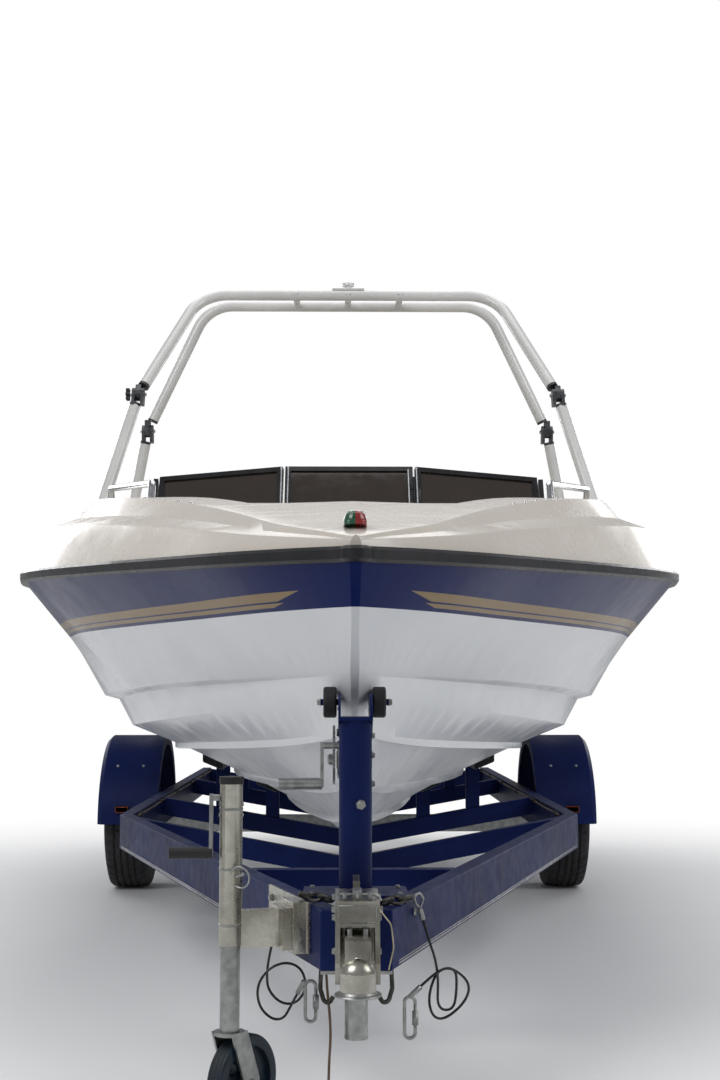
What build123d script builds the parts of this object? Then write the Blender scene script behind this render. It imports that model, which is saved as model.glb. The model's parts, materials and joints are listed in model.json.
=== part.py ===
from build123d import *
import math
import os
from collections import namedtuple

# Open-bow speedboat with a stern drive and a towing tower, on its single-axle trailer.
# Millimetres. +Z is up from the floor, the bow points to -Y and the port side to +X.
# Places along the boat are measured aft of the bow tip and turned to Y by at().

os.makedirs("parts", exist_ok=True)

# Overall
HULL_LENGTH = 6100
COUPLER_REACH = 480
PROP_REACH = 580
BOW_Y = (COUPLER_REACH - HULL_LENGTH - PROP_REACH) / 2
SEAT_GAP = 0.3


def at(aft):
    """Y of a place that lies so far aft of the bow tip."""
    return BOW_Y + aft


def save(node, name):
    """Label a finished piece and write it."""
    node.part.label = name
    export_step(node.part, f"parts/{name}.step")


# Hull stations. Each lies in a plane that leans from the keel point to the deck joint.
# step is the size of the chine ledge, inner to outer are the strakes' shares of the bottom,
# inset and rise give the deck's coaming from the joint.
Station = namedtuple(
    "Station",
    "keel_aft keel_z joint_aft joint_z half chine_half chine_z step inner middle outer inset rise",
)
STATIONS = [
    Station(430, 700, 0, 1243, 14, 10, 955, 0.30, 0.02, 0.10, 0.58, 6, 60),
    Station(500, 668, 90, 1247, 120, 50, 945, 0.38, 0.03, 0.14, 0.60, 45, 78),
    Station(640, 612, 300, 1256, 305, 125, 930, 0.50, 0.05, 0.22, 0.64, 100, 112),
    Station(950, 535, 650, 1273, 520, 270, 905, 0.66, 0.10, 0.33, 0.69, 165, 170),
    Station(1400, 482, 1130, 1295, 815, 480, 873, 0.84, 0.17, 0.42, 0.73, 215, 238),
    Station(1950, 460, 1750, 1321, 1120, 700, 840, 0.95, 0.22, 0.47, 0.75, 240, 290),
    Station(2700, 455, 2500, 1343, 1225, 866, 811, 1.0, 0.24, 0.48, 0.75, 215, 325),
    Station(3600, 455, 3450, 1357, 1225, 866, 811, 1.0, 0.24, 0.48, 0.75, 160, 342),
    Station(4800, 455, 4750, 1357, 1218, 866, 811, 1.0, 0.24, 0.48, 0.75, 170, 285),
    Station(5950, 455, HULL_LENGTH, 1352, 1180, 866, 811, 1.0, 0.24, 0.48, 0.75, 190, 190),
]
FAIRED_STATIONS = (6, 10)
STRAKE_WIDTH = 0.055
CHINE_LEDGE = [(0.06, 103), (0.125, 118)]
FLARE_HOLLOW = 12
DECK_PROFILE = [(0.10, 0.18), (0.33, 0.60), (0.75, 0.74), (1.0, 1.0)]
DECK_CROWN = 18
RUB_HEIGHT = 38
RUB_DEPTH = 25
RUB_CHAMFER = 8


def halfway(before, a, b, after):
    """Station halfway from a to b on a smooth curve through all four."""
    return Station(*[(9 * (q + r) - p - s) / 16 for p, q, r, s in zip(before, a, b, after)])


def faired(rows, count):
    """The stations with one more in each of the foremost intervals."""
    result = [rows[0]]
    for i in range(1, len(rows)):
        if i <= count:
            result.append(halfway(rows[max(i - 2, 0)], rows[i - 1], rows[i], rows[i + 1]))
        result.append(rows[i])
    return result


def hull_plane(s):
    lean = s.joint_aft - s.keel_aft
    height = s.joint_z - s.keel_z
    return Plane(origin=(0, at(s.keel_aft), s.keel_z), x_dir=(1, 0, 0), z_dir=(0, -height, lean))


def up_plane(aft):
    """Upright plane across the boat, drawn in X and Z."""
    return Plane(origin=(0, at(aft), 0), x_dir=(1, 0, 0), z_dir=(0, -1, 0))


def hull_half(s):
    """Half breadths and heights from the keel to the deck joint."""
    drop = s.chine_z - s.keel_z
    points = [(0, s.keel_z)]
    for share in (s.inner, s.middle, s.outer):
        x = s.chine_half * share
        z = s.keel_z + drop * share
        edge = x + STRAKE_WIDTH * s.chine_half
        points += [(x, z), (edge, z), (edge, z + STRAKE_WIDTH * drop)]
    points.append((s.chine_half, s.chine_z))
    for out, up in CHINE_LEDGE:
        points.append((s.chine_half * (1 + out), s.chine_z + up * s.step))
    ledge_x, ledge_z = points[-1]
    points.append(((ledge_x + s.half) / 2 - FLARE_HOLLOW * s.step, (ledge_z + s.joint_z) / 2))
    points.append((s.half, s.joint_z))
    return points


def deck_half(s):
    """Half breadths and heights from the deck joint over the coaming to the crown."""
    points = [(s.half, s.joint_z)]
    foot = s.joint_z + RUB_HEIGHT
    points.append((s.half, foot))
    for share, up in DECK_PROFILE:
        points.append((s.half - s.inset * share, foot + (s.rise - RUB_HEIGHT) * up))
    points.append((0, s.joint_z + s.rise + DECK_CROWN * s.step))
    return points


def both_sides(half):
    """Closed outline from a half outline that starts or ends on the centre line."""
    return half + [(-x, z) for x, z in reversed(half) if abs(x) > 0.01]


def outline(points):
    """Face in the current sketch through the given corners."""
    Polygon(*points, align=None)


HULL_SECTIONS = STATIONS
for count in FAIRED_STATIONS:
    HULL_SECTIONS = faired(HULL_SECTIONS, count)

# Openings in plan, as (half breadth, aft) corners
WELL = [(190, 800), (300, 840), (600, 1500), (770, 2350)]
WELL_FLOOR = 1130
WELL_SOLE = 880
PASSAGE_HALF = 230
PASSAGE_AFT = 1120
CONSOLE_FRONT = 2350
CONSOLE_BACK = 3150
FOOTWELL_FRONT = 2780
FOOTWELL_TOP = 1250
COCKPIT_HALF = 860
COCKPIT_SOLE = 800
SOLE_HALF = 690
LEDGE_Z = 1010
BENCH_FRONT = 4580
BENCH_BACK = 5080
BENCH_TOP = 1100
DASH_TOP = 1600
DASH_HALF = 900
DASH_FRONT = 2420
DASH_AFT = 3560
PAD_DECK = 1440
PAD_HALF = 800
BAY_FRONT = 5150
BAY_BACK = 5920
BAY_HALF = 350
BAY_FLOOR = 650
SKY = 2000
HELM_X = -480
HELM_AFT = 3239
HELM_Z = 1420
HELM_RADIUS = 175
HELM_GRIP = 14
HELM_TILT = 25
HUB_RADIUS = 45
COLUMN = 78
COLUMN_GAP = 0.4
helm_plane = Plane(
    origin=(HELM_X, at(HELM_AFT), HELM_Z),
    x_dir=(1, 0, 0),
    z_dir=(0, math.cos(math.radians(HELM_TILT)), math.sin(math.radians(HELM_TILT))),
)
HATCH_HALF = 560
HATCH_FRONT = 5110
HATCH_BACK = 5960
HATCH_THICK = 40
PAD_THICK = 80
HATCH_HINGE = (HATCH_BACK + 30, PAD_DECK + 15)
HATCH_ARM_X = 400
HATCH_ARM = 30
HATCH_PIN = 8
HATCH_EAR = 14
HATCH_EAR_GAP = 1


def cut_plan(half, floor, top=SKY):
    """Cut a symmetric plan outline between two heights."""
    corners = [(x, at(aft)) for x, aft in half]
    with BuildSketch(Plane.XY.offset(floor)) as plan:
        outline(both_sides(corners))
    extrude(plan.sketch, amount=top - floor, mode=Mode.SUBTRACT)


def cut_box(half, front, back, floor, top=SKY):
    cut_plan([(half, front), (half, back)], floor, top)


def cut_spaces():
    """Bow well, passage, footwells, cockpit, bench and engine bay."""
    cut_plan(WELL, WELL_FLOOR)
    cut_box(PASSAGE_HALF, PASSAGE_AFT, CONSOLE_FRONT, WELL_SOLE)
    cut_box(PASSAGE_HALF, CONSOLE_FRONT - 1, CONSOLE_BACK, COCKPIT_SOLE)
    cut_box(SOLE_HALF, FOOTWELL_FRONT, CONSOLE_BACK, COCKPIT_SOLE, FOOTWELL_TOP)
    cut_box(SOLE_HALF, CONSOLE_BACK, BENCH_FRONT, COCKPIT_SOLE)
    cut_box(COCKPIT_HALF, CONSOLE_BACK, BENCH_FRONT, LEDGE_Z)
    cut_box(COCKPIT_HALF, BENCH_FRONT - 1, BENCH_BACK, BENCH_TOP)
    cut_box(BAY_HALF, BAY_FRONT, BAY_BACK, BAY_FLOOR)


with BuildPart() as hull:
    for s in HULL_SECTIONS:
        lean = math.hypot(s.joint_aft - s.keel_aft, s.joint_z - s.keel_z) / (s.joint_z - s.keel_z)
        with BuildSketch(hull_plane(s)):
            outline(both_sides([(x, (z - s.keel_z) * lean) for x, z in hull_half(s)]))
    loft(ruled=True)
    cut_spaces()

with BuildPart() as deck:
    for s in HULL_SECTIONS:
        with BuildSketch(up_plane(s.joint_aft)):
            outline(both_sides(deck_half(s)))
    loft(ruled=True)
    cut_spaces()
    cut_box(DASH_HALF, DASH_FRONT, DASH_AFT, DASH_TOP)
    cut_box(PAD_HALF, BENCH_BACK, HULL_LENGTH + 100, PAD_DECK)
    with BuildSketch(helm_plane.offset(-COLUMN - COLUMN_GAP)) as boss:
        Circle(HUB_RADIUS * 0.8)
    extrude(boss.sketch, amount=-30)
    for side in (1, -1):
        for ear in (-1, 1):
            x = side * HATCH_ARM_X + ear * (HATCH_ARM / 2 + HATCH_EAR_GAP + HATCH_EAR / 2)
            with Locations((x, at(HATCH_HINGE[0]), PAD_DECK + 6)):
                Box(HATCH_EAR, 2 * HATCH_PIN, 18)
            with Locations((x, at(HATCH_HINGE[0]), HATCH_HINGE[1])):
                Cylinder(HATCH_PIN, HATCH_EAR, rotation=(0, 90, 0))

with BuildPart() as rub_rail:
    for side in (1, -1):
        for s in HULL_SECTIONS:
            inner, outer = s.half, s.half + RUB_DEPTH
            low, high = s.joint_z, s.joint_z + RUB_HEIGHT
            corners = [
                (inner, low),
                (outer - RUB_CHAMFER, low),
                (outer, low + RUB_CHAMFER),
                (outer, high - RUB_CHAMFER),
                (outer - RUB_CHAMFER, high),
                (inner, high),
            ]
            with BuildSketch(up_plane(s.joint_aft)):
                outline([(side * x, z) for x, z in corners])
        loft(ruled=True)
    tip = STATIONS[0]
    nose = tip.half + RUB_DEPTH
    low, high = tip.joint_z, tip.joint_z + RUB_HEIGHT
    for turn in (90, -90):
        with BuildSketch(Plane.YZ) as face:
            outline([
                (at(0), low),
                (at(0) - nose + RUB_CHAMFER, low),
                (at(0) - nose, low + RUB_CHAMFER),
                (at(0) - nose, high - RUB_CHAMFER),
                (at(0) - nose + RUB_CHAMFER, high),
                (at(0), high),
            ])
        revolve(face.sketch, axis=Axis((0, at(0), 0), (0, 0, 1)), revolution_arc=turn)

save(hull, "hull")
save(deck, "deck")
save(rub_rail, "rub_rail")
def post(x, aft, low, high, radius):
    """Upright round bar in the current part."""
    with BuildSketch(Plane.XY.offset(low)) as ring:
        with Locations((x, at(aft))):
            Circle(radius)
    extrude(ring.sketch, amount=high - low)


def block(x, aft, z, width, length, height, mode=Mode.ADD):
    """Box between given places: x from the middle, aft from its front, z from its foot."""
    with Locations((x, at(aft + length / 2), z + height / 2)):
        Box(width, length, height, mode=mode)


def cross_bar(x_from, x_to, aft, z, radius, mode=Mode.ADD):
    """Round bar along X."""
    plane = Plane(origin=(x_from, at(aft), z), x_dir=(0, 1, 0), z_dir=(1, 0, 0))
    with BuildSketch(plane) as ring:
        Circle(radius)
    extrude(ring.sketch, amount=x_to - x_from, mode=mode)


def side_plate(x_from, x_to, corners, mode=Mode.ADD):
    """Plate with an (aft, z) outline, from one X to another."""
    plane = Plane(origin=(x_from, 0, 0), x_dir=(0, 1, 0), z_dir=(1, 0, 0))
    with BuildSketch(plane) as face:
        outline([(at(aft), z) for aft, z in corners])
    extrude(face.sketch, amount=x_to - x_from, mode=mode)


def tube(points, radius, bend):
    """Round tube along straight runs with bends, given as (x, aft, z)."""
    with BuildLine() as path:
        FilletPolyline(*[(x, at(aft), z) for x, aft, z in points], radius=bend)
    with BuildSketch(Plane(origin=path.line @ 0, z_dir=path.line % 0)) as ring:
        Circle(radius)
    sweep(ring.sketch, path=path.line)


# Deck fittings
LIGHT_AFT = 120
LIGHT_Z = 1341
LIGHT_RADIUS = 28
EYE_Z = 840
EYE_BAR = 6
EYE_HALF = 18
EYE_REACH = 40
CLEAT_LENGTH = 150
CLEATS = [(1050, 2600, 1646), (1060, 5000, 1612)]
RAIL_TUBE = 12.5
GRAB_FRONT = (655, 1430, 1566)
GRAB_BACK = (930, 2390, 1670)
GRAB_LIFT = 62
GRAB_BEND = 35

with BuildPart() as bow_light:
    with BuildSketch(Plane.XY.offset(LIGHT_Z)) as base:
        with Locations((0, at(LIGHT_AFT))):
            Rectangle(56, 90)
            fillet(base.vertices(), 20)
    extrude(base.sketch, amount=12)
    with Locations((0, at(LIGHT_AFT), LIGHT_Z + 12)):
        Sphere(LIGHT_RADIUS, arc_size1=0, align=(Align.CENTER, Align.CENTER, Align.MIN))
    add(deck.part, mode=Mode.SUBTRACT)

with BuildPart() as cleats:
    for x, aft, z in CLEATS:
        for side in (1, -1):
            block(side * x, aft, z, 34, 90, 14)
            block(side * x, aft - 30, z + 14, 18, CLEAT_LENGTH, 16)
    add(deck.part, mode=Mode.SUBTRACT)

with BuildPart() as grab_rails:
    for side in (1, -1):
        front_x, front_aft, front_z = GRAB_FRONT
        back_x, back_aft, back_z = GRAB_BACK
        tube(
            [
                (side * front_x, front_aft, front_z),
                (side * front_x, front_aft + 30, front_z + GRAB_LIFT),
                (side * back_x, back_aft - 30, back_z + GRAB_LIFT),
                (side * back_x, back_aft, back_z),
            ],
            RAIL_TUBE,
            GRAB_BEND,
        )
    add(deck.part, mode=Mode.SUBTRACT)

# Windshield panels as (x, aft, z) corners: foot inner, foot outer, head outer, head inner
GLASS = 6
FRAME = 20
FRAME_BORDER = 24
GATE_HALF = 264
PANEL_GAP = 8
HINGE_PIN = 5
LEAF = 2.5
FOOT = DASH_TOP + SEAT_GAP
FRONT_PANEL = [
    (GATE_HALF + PANEL_GAP, 2560, FOOT),
    (800, 2760, FOOT),
    (806, 2905, 1855),
    (GATE_HALF + PANEL_GAP, 2722, 1868),
]
SIDE_PANEL = [
    (822, 2790, FOOT),
    (880, 3480, FOOT),
    (862, 3480, 1740),
    (824, 2925, 1850),
]
GATE_PANEL = [
    (GATE_HALF, 2560, FOOT + 5.4),
    (-GATE_HALF, 2560, FOOT + 5.4),
    (-GATE_HALF, 2722, 1868),
    (GATE_HALF, 2722, 1868),
]


def panel_plane(corners):
    a, b, _, d = [Vector(x, at(aft), z) for x, aft, z in corners]
    return Plane(origin=a, x_dir=b - a, z_dir=(b - a).cross(d - a))


def panel(corners, side, framed):
    """Frame or glass of one flat windshield panel."""
    corners = [(side * x, aft, z) for x, aft, z in corners]
    plane = panel_plane(corners)
    flat = [plane.to_local_coords(Vector(x, at(aft), z)) for x, aft, z in corners]
    with BuildSketch(plane) as opening:
        outline([(p.X, p.Y) for p in flat])
        offset(amount=-FRAME_BORDER, kind=Kind.INTERSECTION, mode=Mode.REPLACE)
    if framed:
        with BuildSketch(plane) as border:
            outline([(p.X, p.Y) for p in flat])
            offset(amount=-FRAME_BORDER, kind=Kind.INTERSECTION, mode=Mode.SUBTRACT)
        extrude(border.sketch, amount=FRAME / 2, both=True)
    else:
        extrude(opening.sketch, amount=GLASS / 2, both=True)


gate_plane = panel_plane(GATE_PANEL)
hinge_foot = gate_plane.from_local_coords(Vector(-PANEL_GAP / 2, 0, -FRAME / 2 - HINGE_PIN))


def gate_hinge(spans, leaf_from, leaf_to, leaf_depth):
    """Hinge barrels on the gate's pivot line, each with a leaf to the frame beside it."""
    for low, high in spans:
        with BuildSketch(Plane(origin=hinge_foot + gate_plane.y_dir * low, z_dir=gate_plane.y_dir)) as ring:
            Circle(HINGE_PIN)
        extrude(ring.sketch, amount=high - low)
        with BuildSketch(gate_plane.offset(-FRAME / 2 - LEAF)) as leaf:
            outline([(leaf_from, low), (leaf_to, low), (leaf_to, high), (leaf_from, high)])
        extrude(leaf.sketch, amount=leaf_depth)


with BuildPart() as windshield_frame:
    for side in (1, -1):
        panel(FRONT_PANEL, side, True)
        panel(SIDE_PANEL, side, True)
    gate_hinge([(106, 184)], -30, -4, LEAF + 9)
    add(deck.part, mode=Mode.SUBTRACT)

with BuildPart() as windshield_glass:
    for side in (1, -1):
        panel(FRONT_PANEL, side, False)
        panel(SIDE_PANEL, side, False)

with BuildPart() as gate_frame:
    panel(GATE_PANEL, 1, True)
    gate_hinge([(44, 105), (185, 246)], -4, 20, LEAF)

with BuildPart() as gate_glass:
    panel(GATE_PANEL, 1, False)

# Helm
with BuildPart() as helm_wheel:
    with BuildSketch(Plane(origin=helm_plane.origin, x_dir=helm_plane.x_dir, z_dir=helm_plane.y_dir)) as grip:
        with Locations((HELM_RADIUS, 0)):
            Circle(HELM_GRIP)
    revolve(grip.sketch, axis=Axis(helm_plane.origin, helm_plane.z_dir))
    with BuildSketch(helm_plane) as hub:
        Circle(HUB_RADIUS)
        with PolarLocations(HELM_RADIUS / 2, 3, start_angle=30):
            Rectangle(HELM_RADIUS - HELM_GRIP, 26)
    extrude(hub.sketch, amount=5, both=True)
    with BuildSketch(helm_plane) as column:
        Circle(HUB_RADIUS * 0.6)
    extrude(column.sketch, amount=-COLUMN)

with BuildPart() as throttle:
    block(-COCKPIT_HALF + 20 + SEAT_GAP, 3400, 1240, 40, 140, 110)
    side_plate(
        -COCKPIT_HALF + 40 + SEAT_GAP,
        -COCKPIT_HALF + 60,
        [(3455, 1290), (3485, 1290), (3475, 1460), (3455, 1460)],
    )
    cross_bar(-COCKPIT_HALF + 20, -COCKPIT_HALF + 90, 3465, 1460, 16)

# Seats
CUSHION_GAP = 10
CUSHION = 80
CUSHION_FILLET = 18
BOW_CUSHION_BACK = 2335
SEAT_X = 480
SEAT_AFT = (CONSOLE_BACK + BENCH_FRONT) / 2 - 145
SEAT_BASE = 400
SEAT_BASE_TOP = 1120
SEAT_SIZE = 470
SEAT_THICK = 110
BACK_THICK = 95
BACK_HEIGHT = 430


def soft(corners, floor, height):
    """Cushion with rounded edges over an (x, aft) outline."""
    with BuildSketch(Plane.XY.offset(floor)) as plan:
        outline([(x, at(aft)) for x, aft in corners])
        fillet(plan.vertices(), CUSHION_FILLET * 2)
    extrude(plan.sketch, amount=height)


with BuildPart() as bow_cushions:
    low = WELL_FLOOR + SEAT_GAP
    for side in (1, -1):
        soft(
            [
                (side * (PASSAGE_HALF + CUSHION_GAP), PASSAGE_AFT + 20),
                (side * 410, PASSAGE_AFT + 20),
                (side * 585, 1500),
                (side * 755, BOW_CUSHION_BACK),
                (side * (PASSAGE_HALF + CUSHION_GAP), BOW_CUSHION_BACK),
            ],
            low,
            CUSHION,
        )
    soft([(-180, 815), (180, 815), (285, 860), (380, 1110), (-380, 1110), (-285, 860)], low, CUSHION)
    fillet(bow_cushions.faces().group_by(Axis.Z)[-1].edges(), CUSHION_FILLET)

with BuildPart() as seat_bases:
    for side in (1, -1):
        block(side * SEAT_X, SEAT_AFT, COCKPIT_SOLE, SEAT_BASE, SEAT_BASE, SEAT_BASE_TOP - COCKPIT_SOLE)

with BuildPart() as seat_cushions:
    for side in (1, -1):
        left, right = side * SEAT_X - SEAT_SIZE / 2, side * SEAT_X + SEAT_SIZE / 2
        front, back = SEAT_AFT - 60, SEAT_AFT - 60 + SEAT_SIZE
        low = SEAT_BASE_TOP + SEAT_GAP
        soft([(left, front), (right, front), (right, back), (left, back)], low, SEAT_THICK)
        soft(
            [(left, back + SEAT_GAP), (right, back + SEAT_GAP), (right, back + BACK_THICK), (left, back + BACK_THICK)],
            low,
            BACK_HEIGHT,
        )
    fillet(seat_cushions.faces().group_by(Axis.Z)[-1].edges(), CUSHION_FILLET)

with BuildPart() as bench_cushions:
    half = COCKPIT_HALF - CUSHION_GAP
    low = BENCH_TOP + SEAT_GAP
    soft([(-half, 4570), (half, 4570), (half, 4980), (-half, 4980)], low, 120)
    soft([(-half, 4984), (half, 4984), (half, BENCH_BACK - 2), (-half, BENCH_BACK - 2)], low, 360)
    fillet(bench_cushions.faces().group_by(Axis.Z)[-1].edges(), CUSHION_FILLET)

# Engine and its hatch
ENGINE_WIDTH = 560
ENGINE_LENGTH = 640
ENGINE_HEIGHT = 540
ENGINE_AFT = 5240
ENGINE_FOOT = BAY_FLOOR + 20

with BuildPart() as engine:
    block(0, ENGINE_AFT, ENGINE_FOOT, ENGINE_WIDTH, ENGINE_LENGTH, ENGINE_HEIGHT)
    for side in (1, -1):
        block(side * 250, ENGINE_AFT + 100, BAY_FLOOR, 60, 440, 20)

with BuildPart() as engine_hatch:
    low = PAD_DECK + SEAT_GAP
    block(0, HATCH_FRONT, low, 2 * HATCH_HALF, HATCH_BACK - HATCH_FRONT, HATCH_THICK)
    for side in (1, -1):
        side_plate(
            side * HATCH_ARM_X - HATCH_ARM / 2,
            side * HATCH_ARM_X + HATCH_ARM / 2,
            [
                (HATCH_BACK - 60, low + 10),
                (HATCH_HINGE[0], low + 10),
                (HATCH_HINGE[0], low + 22),
                (HATCH_BACK - 60, low + 22),
            ],
        )
        left = side * HATCH_ARM_X - HATCH_ARM / 2
        cross_bar(left, left + HATCH_ARM, *HATCH_HINGE, HATCH_PIN)

with BuildPart() as sun_pad:
    half = HATCH_HALF - 10
    soft(
        [(-half, HATCH_FRONT + 10), (half, HATCH_FRONT + 10), (half, HATCH_BACK - 70), (-half, HATCH_BACK - 70)],
        PAD_DECK + 2 * SEAT_GAP + HATCH_THICK,
        PAD_THICK,
    )
    fillet(sun_pad.faces().group_by(Axis.Z)[-1].edges(), CUSHION_FILLET)

# Towing tower
TOWER_TUBE = 25.4
TOWER_BEND = 190
FOOT_PLATE = 8
FRONT_FOOT = (1072, 2950, 1691)
FRONT_KNUCKLE = (936, 3150, 2260)
FRONT_TOP = (690, 3450, 2795)
REAR_FOOT = (1082, 3885, 1687)
REAR_KNUCKLE = (976, 3800, 2207)
REAR_TOP = (680, 3750, 2819)
TONGUE_HALF = 12
EAR = 14
EAR_GAP = 0.5
EAR_RADIUS = 30
NECK_NEAR = 50
NECK_FAR = 62
TOWER_LEGS = [(FRONT_KNUCKLE, FRONT_FOOT), (REAR_KNUCKLE, REAR_FOOT)]
TOWER_HOOPS = [(FRONT_KNUCKLE, FRONT_TOP), (REAR_KNUCKLE, REAR_TOP)]
TOWER_BRIDGES = (-245, 0, 245)
BRIDGE_TUBE = 16
KNOB_AFT = FRONT_TOP[1] + 60


with BuildPart() as tower_legs:
    for knuckle, foot in TOWER_LEGS:
        for side in (1, -1):
            start = Vector(side * foot[0], at(foot[1]), foot[2])
            end = Vector(side * knuckle[0], at(knuckle[1]), knuckle[2])
            run = end - start
            with BuildSketch(Plane(origin=start, z_dir=run)) as ring:
                Circle(TOWER_TUBE)
            extrude(ring.sketch, amount=run.length - NECK_FAR)
            with Locations((start.X, start.Y, start.Z + FOOT_PLATE / 2)):
                Box(110, 150, FOOT_PLATE)
    add(deck.part, mode=Mode.SUBTRACT)

save(bow_light, "bow_light")
save(cleats, "cleats")
save(grab_rails, "grab_rails")
save(windshield_frame, "windshield_frame")
save(windshield_glass, "windshield_glass")
save(gate_frame, "gate_frame")
save(gate_glass, "gate_glass")
save(helm_wheel, "helm_wheel")
save(throttle, "throttle")
save(bow_cushions, "bow_cushions")
save(seat_bases, "seat_bases")
save(seat_cushions, "seat_cushions")
save(bench_cushions, "bench_cushions")
save(engine, "engine")
save(engine_hatch, "engine_hatch")
save(sun_pad, "sun_pad")
save(tower_legs, "tower_legs")
def knuckle_run(knuckle, other, side):
    """Point of a knuckle and the unit direction from it to another tower point."""
    centre = Vector(side * knuckle[0], at(knuckle[1]), knuckle[2])
    far = Vector(side * other[0], at(other[1]), other[2])
    return centre, (far - centre).normalized()


def knuckle_neck(centre, way):
    """Round neck between a knuckle's plates and the end of its tube."""
    with BuildSketch(Plane(origin=centre + way * NECK_NEAR, z_dir=way)) as ring:
        Circle(TOWER_TUBE)
    extrude(ring.sketch, amount=NECK_FAR - NECK_NEAR)


with BuildPart() as tower_lower_knuckles:
    for knuckle, foot in TOWER_LEGS:
        for side in (1, -1):
            centre, down = knuckle_run(knuckle, foot, side)
            x, aft, z = side * knuckle[0], knuckle[1], knuckle[2]
            base = centre + down * (NECK_NEAR + 6)
            shift = base.Y - centre.Y
            for ear in (-1, 1):
                inner = x + ear * (TONGUE_HALF + EAR_GAP)
                outer = inner + ear * EAR
                low, high = min(inner, outer), max(inner, outer)
                side_plate(
                    low,
                    high,
                    [
                        (aft - EAR_RADIUS, z),
                        (aft + EAR_RADIUS, z),
                        (aft + EAR_RADIUS + shift, base.Z),
                        (aft - EAR_RADIUS + shift, base.Z),
                    ],
                )
                cross_bar(low, high, aft, z, EAR_RADIUS)
            knuckle_neck(centre, down)
    add(tower_legs.part, mode=Mode.SUBTRACT)

with BuildPart() as tower_hoops:
    for knuckle, top in TOWER_HOOPS:
        start, up = knuckle_run(knuckle, top, 1)
        start = start + up * NECK_FAR
        foot = (start.X, start.Y - BOW_Y, start.Z)
        points = [foot, top, (-top[0], top[1], top[2]), (-foot[0], foot[1], foot[2])]
        tube(points, TOWER_TUBE, TOWER_BEND)
    for x in TOWER_BRIDGES:
        across = Vector(0, REAR_TOP[1] - FRONT_TOP[1], REAR_TOP[2] - FRONT_TOP[2])
        with BuildSketch(Plane(origin=(x, at(FRONT_TOP[1]), FRONT_TOP[2]), z_dir=across)) as ring:
            Circle(BRIDGE_TUBE)
        extrude(ring.sketch, amount=across.length)
    plate_z = FRONT_TOP[2] + TOWER_TUBE - 4
    block(0, FRONT_TOP[1] - 20, plate_z, 150, 200, 8)
    post(0, KNOB_AFT, plate_z + 4, plate_z + 38, 13)
    post(0, KNOB_AFT, plate_z + 38, plate_z + 50, 28)

with BuildPart() as tower_upper_knuckles:
    for knuckle, top in TOWER_HOOPS:
        for side in (1, -1):
            centre, up = knuckle_run(knuckle, top, side)
            x, aft, z = side * knuckle[0], knuckle[1], knuckle[2]
            base = centre + up * (NECK_NEAR + 6)
            shift = base.Y - centre.Y
            side_plate(
                x - TONGUE_HALF,
                x + TONGUE_HALF,
                [
                    (aft - EAR_RADIUS, z),
                    (aft + EAR_RADIUS, z),
                    (aft + EAR_RADIUS + shift, base.Z),
                    (aft - EAR_RADIUS + shift, base.Z),
                ],
            )
            cross_bar(x - TONGUE_HALF, x + TONGUE_HALF, aft, z, EAR_RADIUS)
            knuckle_neck(centre, up)
    add(tower_hoops.part, mode=Mode.SUBTRACT)

# Swim platform and ladder
PLATFORM_HALF = 850
PLATFORM_REACH = 380
PLATFORM_Z = 985
PLATFORM_THICK = 40
LADDER_X = 500
LADDER_HALF = 140
LADDER_TUBE = 12.5
LADDER_LENGTH = 330
LADDER_PIVOT = (HULL_LENGTH + PLATFORM_REACH + 25, PLATFORM_Z + PLATFORM_THICK + 22)
LADDER_EAR = 12

with BuildPart() as swim_platform:
    with BuildSketch(Plane.XY.offset(PLATFORM_Z)) as plan:
        back = HULL_LENGTH + PLATFORM_REACH
        corners = [(PLATFORM_HALF, HULL_LENGTH - 90), (PLATFORM_HALF, back)]
        outline(both_sides([(x, at(aft)) for x, aft in corners]))
        fillet(plan.vertices().group_by(Axis.Y)[-1], 120)
    extrude(plan.sketch, amount=PLATFORM_THICK)
    add(hull.part, mode=Mode.SUBTRACT)
    pivot_aft, pivot_z = LADDER_PIVOT
    for side in (1, -1):
        x = LADDER_X + side * (LADDER_HALF + LADDER_TUBE + 1.5 + LADDER_EAR / 2)
        side_plate(
            x - LADDER_EAR / 2,
            x + LADDER_EAR / 2,
            [
                (back - 40, PLATFORM_Z + PLATFORM_THICK),
                (back - 1, PLATFORM_Z + 5),
                (back + 30, PLATFORM_Z + 20),
                (pivot_aft + 12, pivot_z + 12),
                (pivot_aft - 12, pivot_z + 12),
            ],
        )

with BuildPart() as ladder:
    pivot_aft, pivot_z = LADDER_PIVOT
    front = pivot_aft - LADDER_LENGTH
    tube(
        [
            (LADDER_X - LADDER_HALF, pivot_aft, pivot_z),
            (LADDER_X - LADDER_HALF, front, pivot_z),
            (LADDER_X + LADDER_HALF, front, pivot_z),
            (LADDER_X + LADDER_HALF, pivot_aft, pivot_z),
        ],
        LADDER_TUBE,
        50,
    )
    for share in (0.4, 0.75):
        block(LADDER_X, pivot_aft - share * LADDER_LENGTH - 20, pivot_z - 8, 2 * LADDER_HALF, 40, 16)
    reach = LADDER_HALF + LADDER_TUBE + 1
    cross_bar(LADDER_X - reach, LADDER_X + reach, pivot_aft, pivot_z, LADDER_TUBE)

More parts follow.
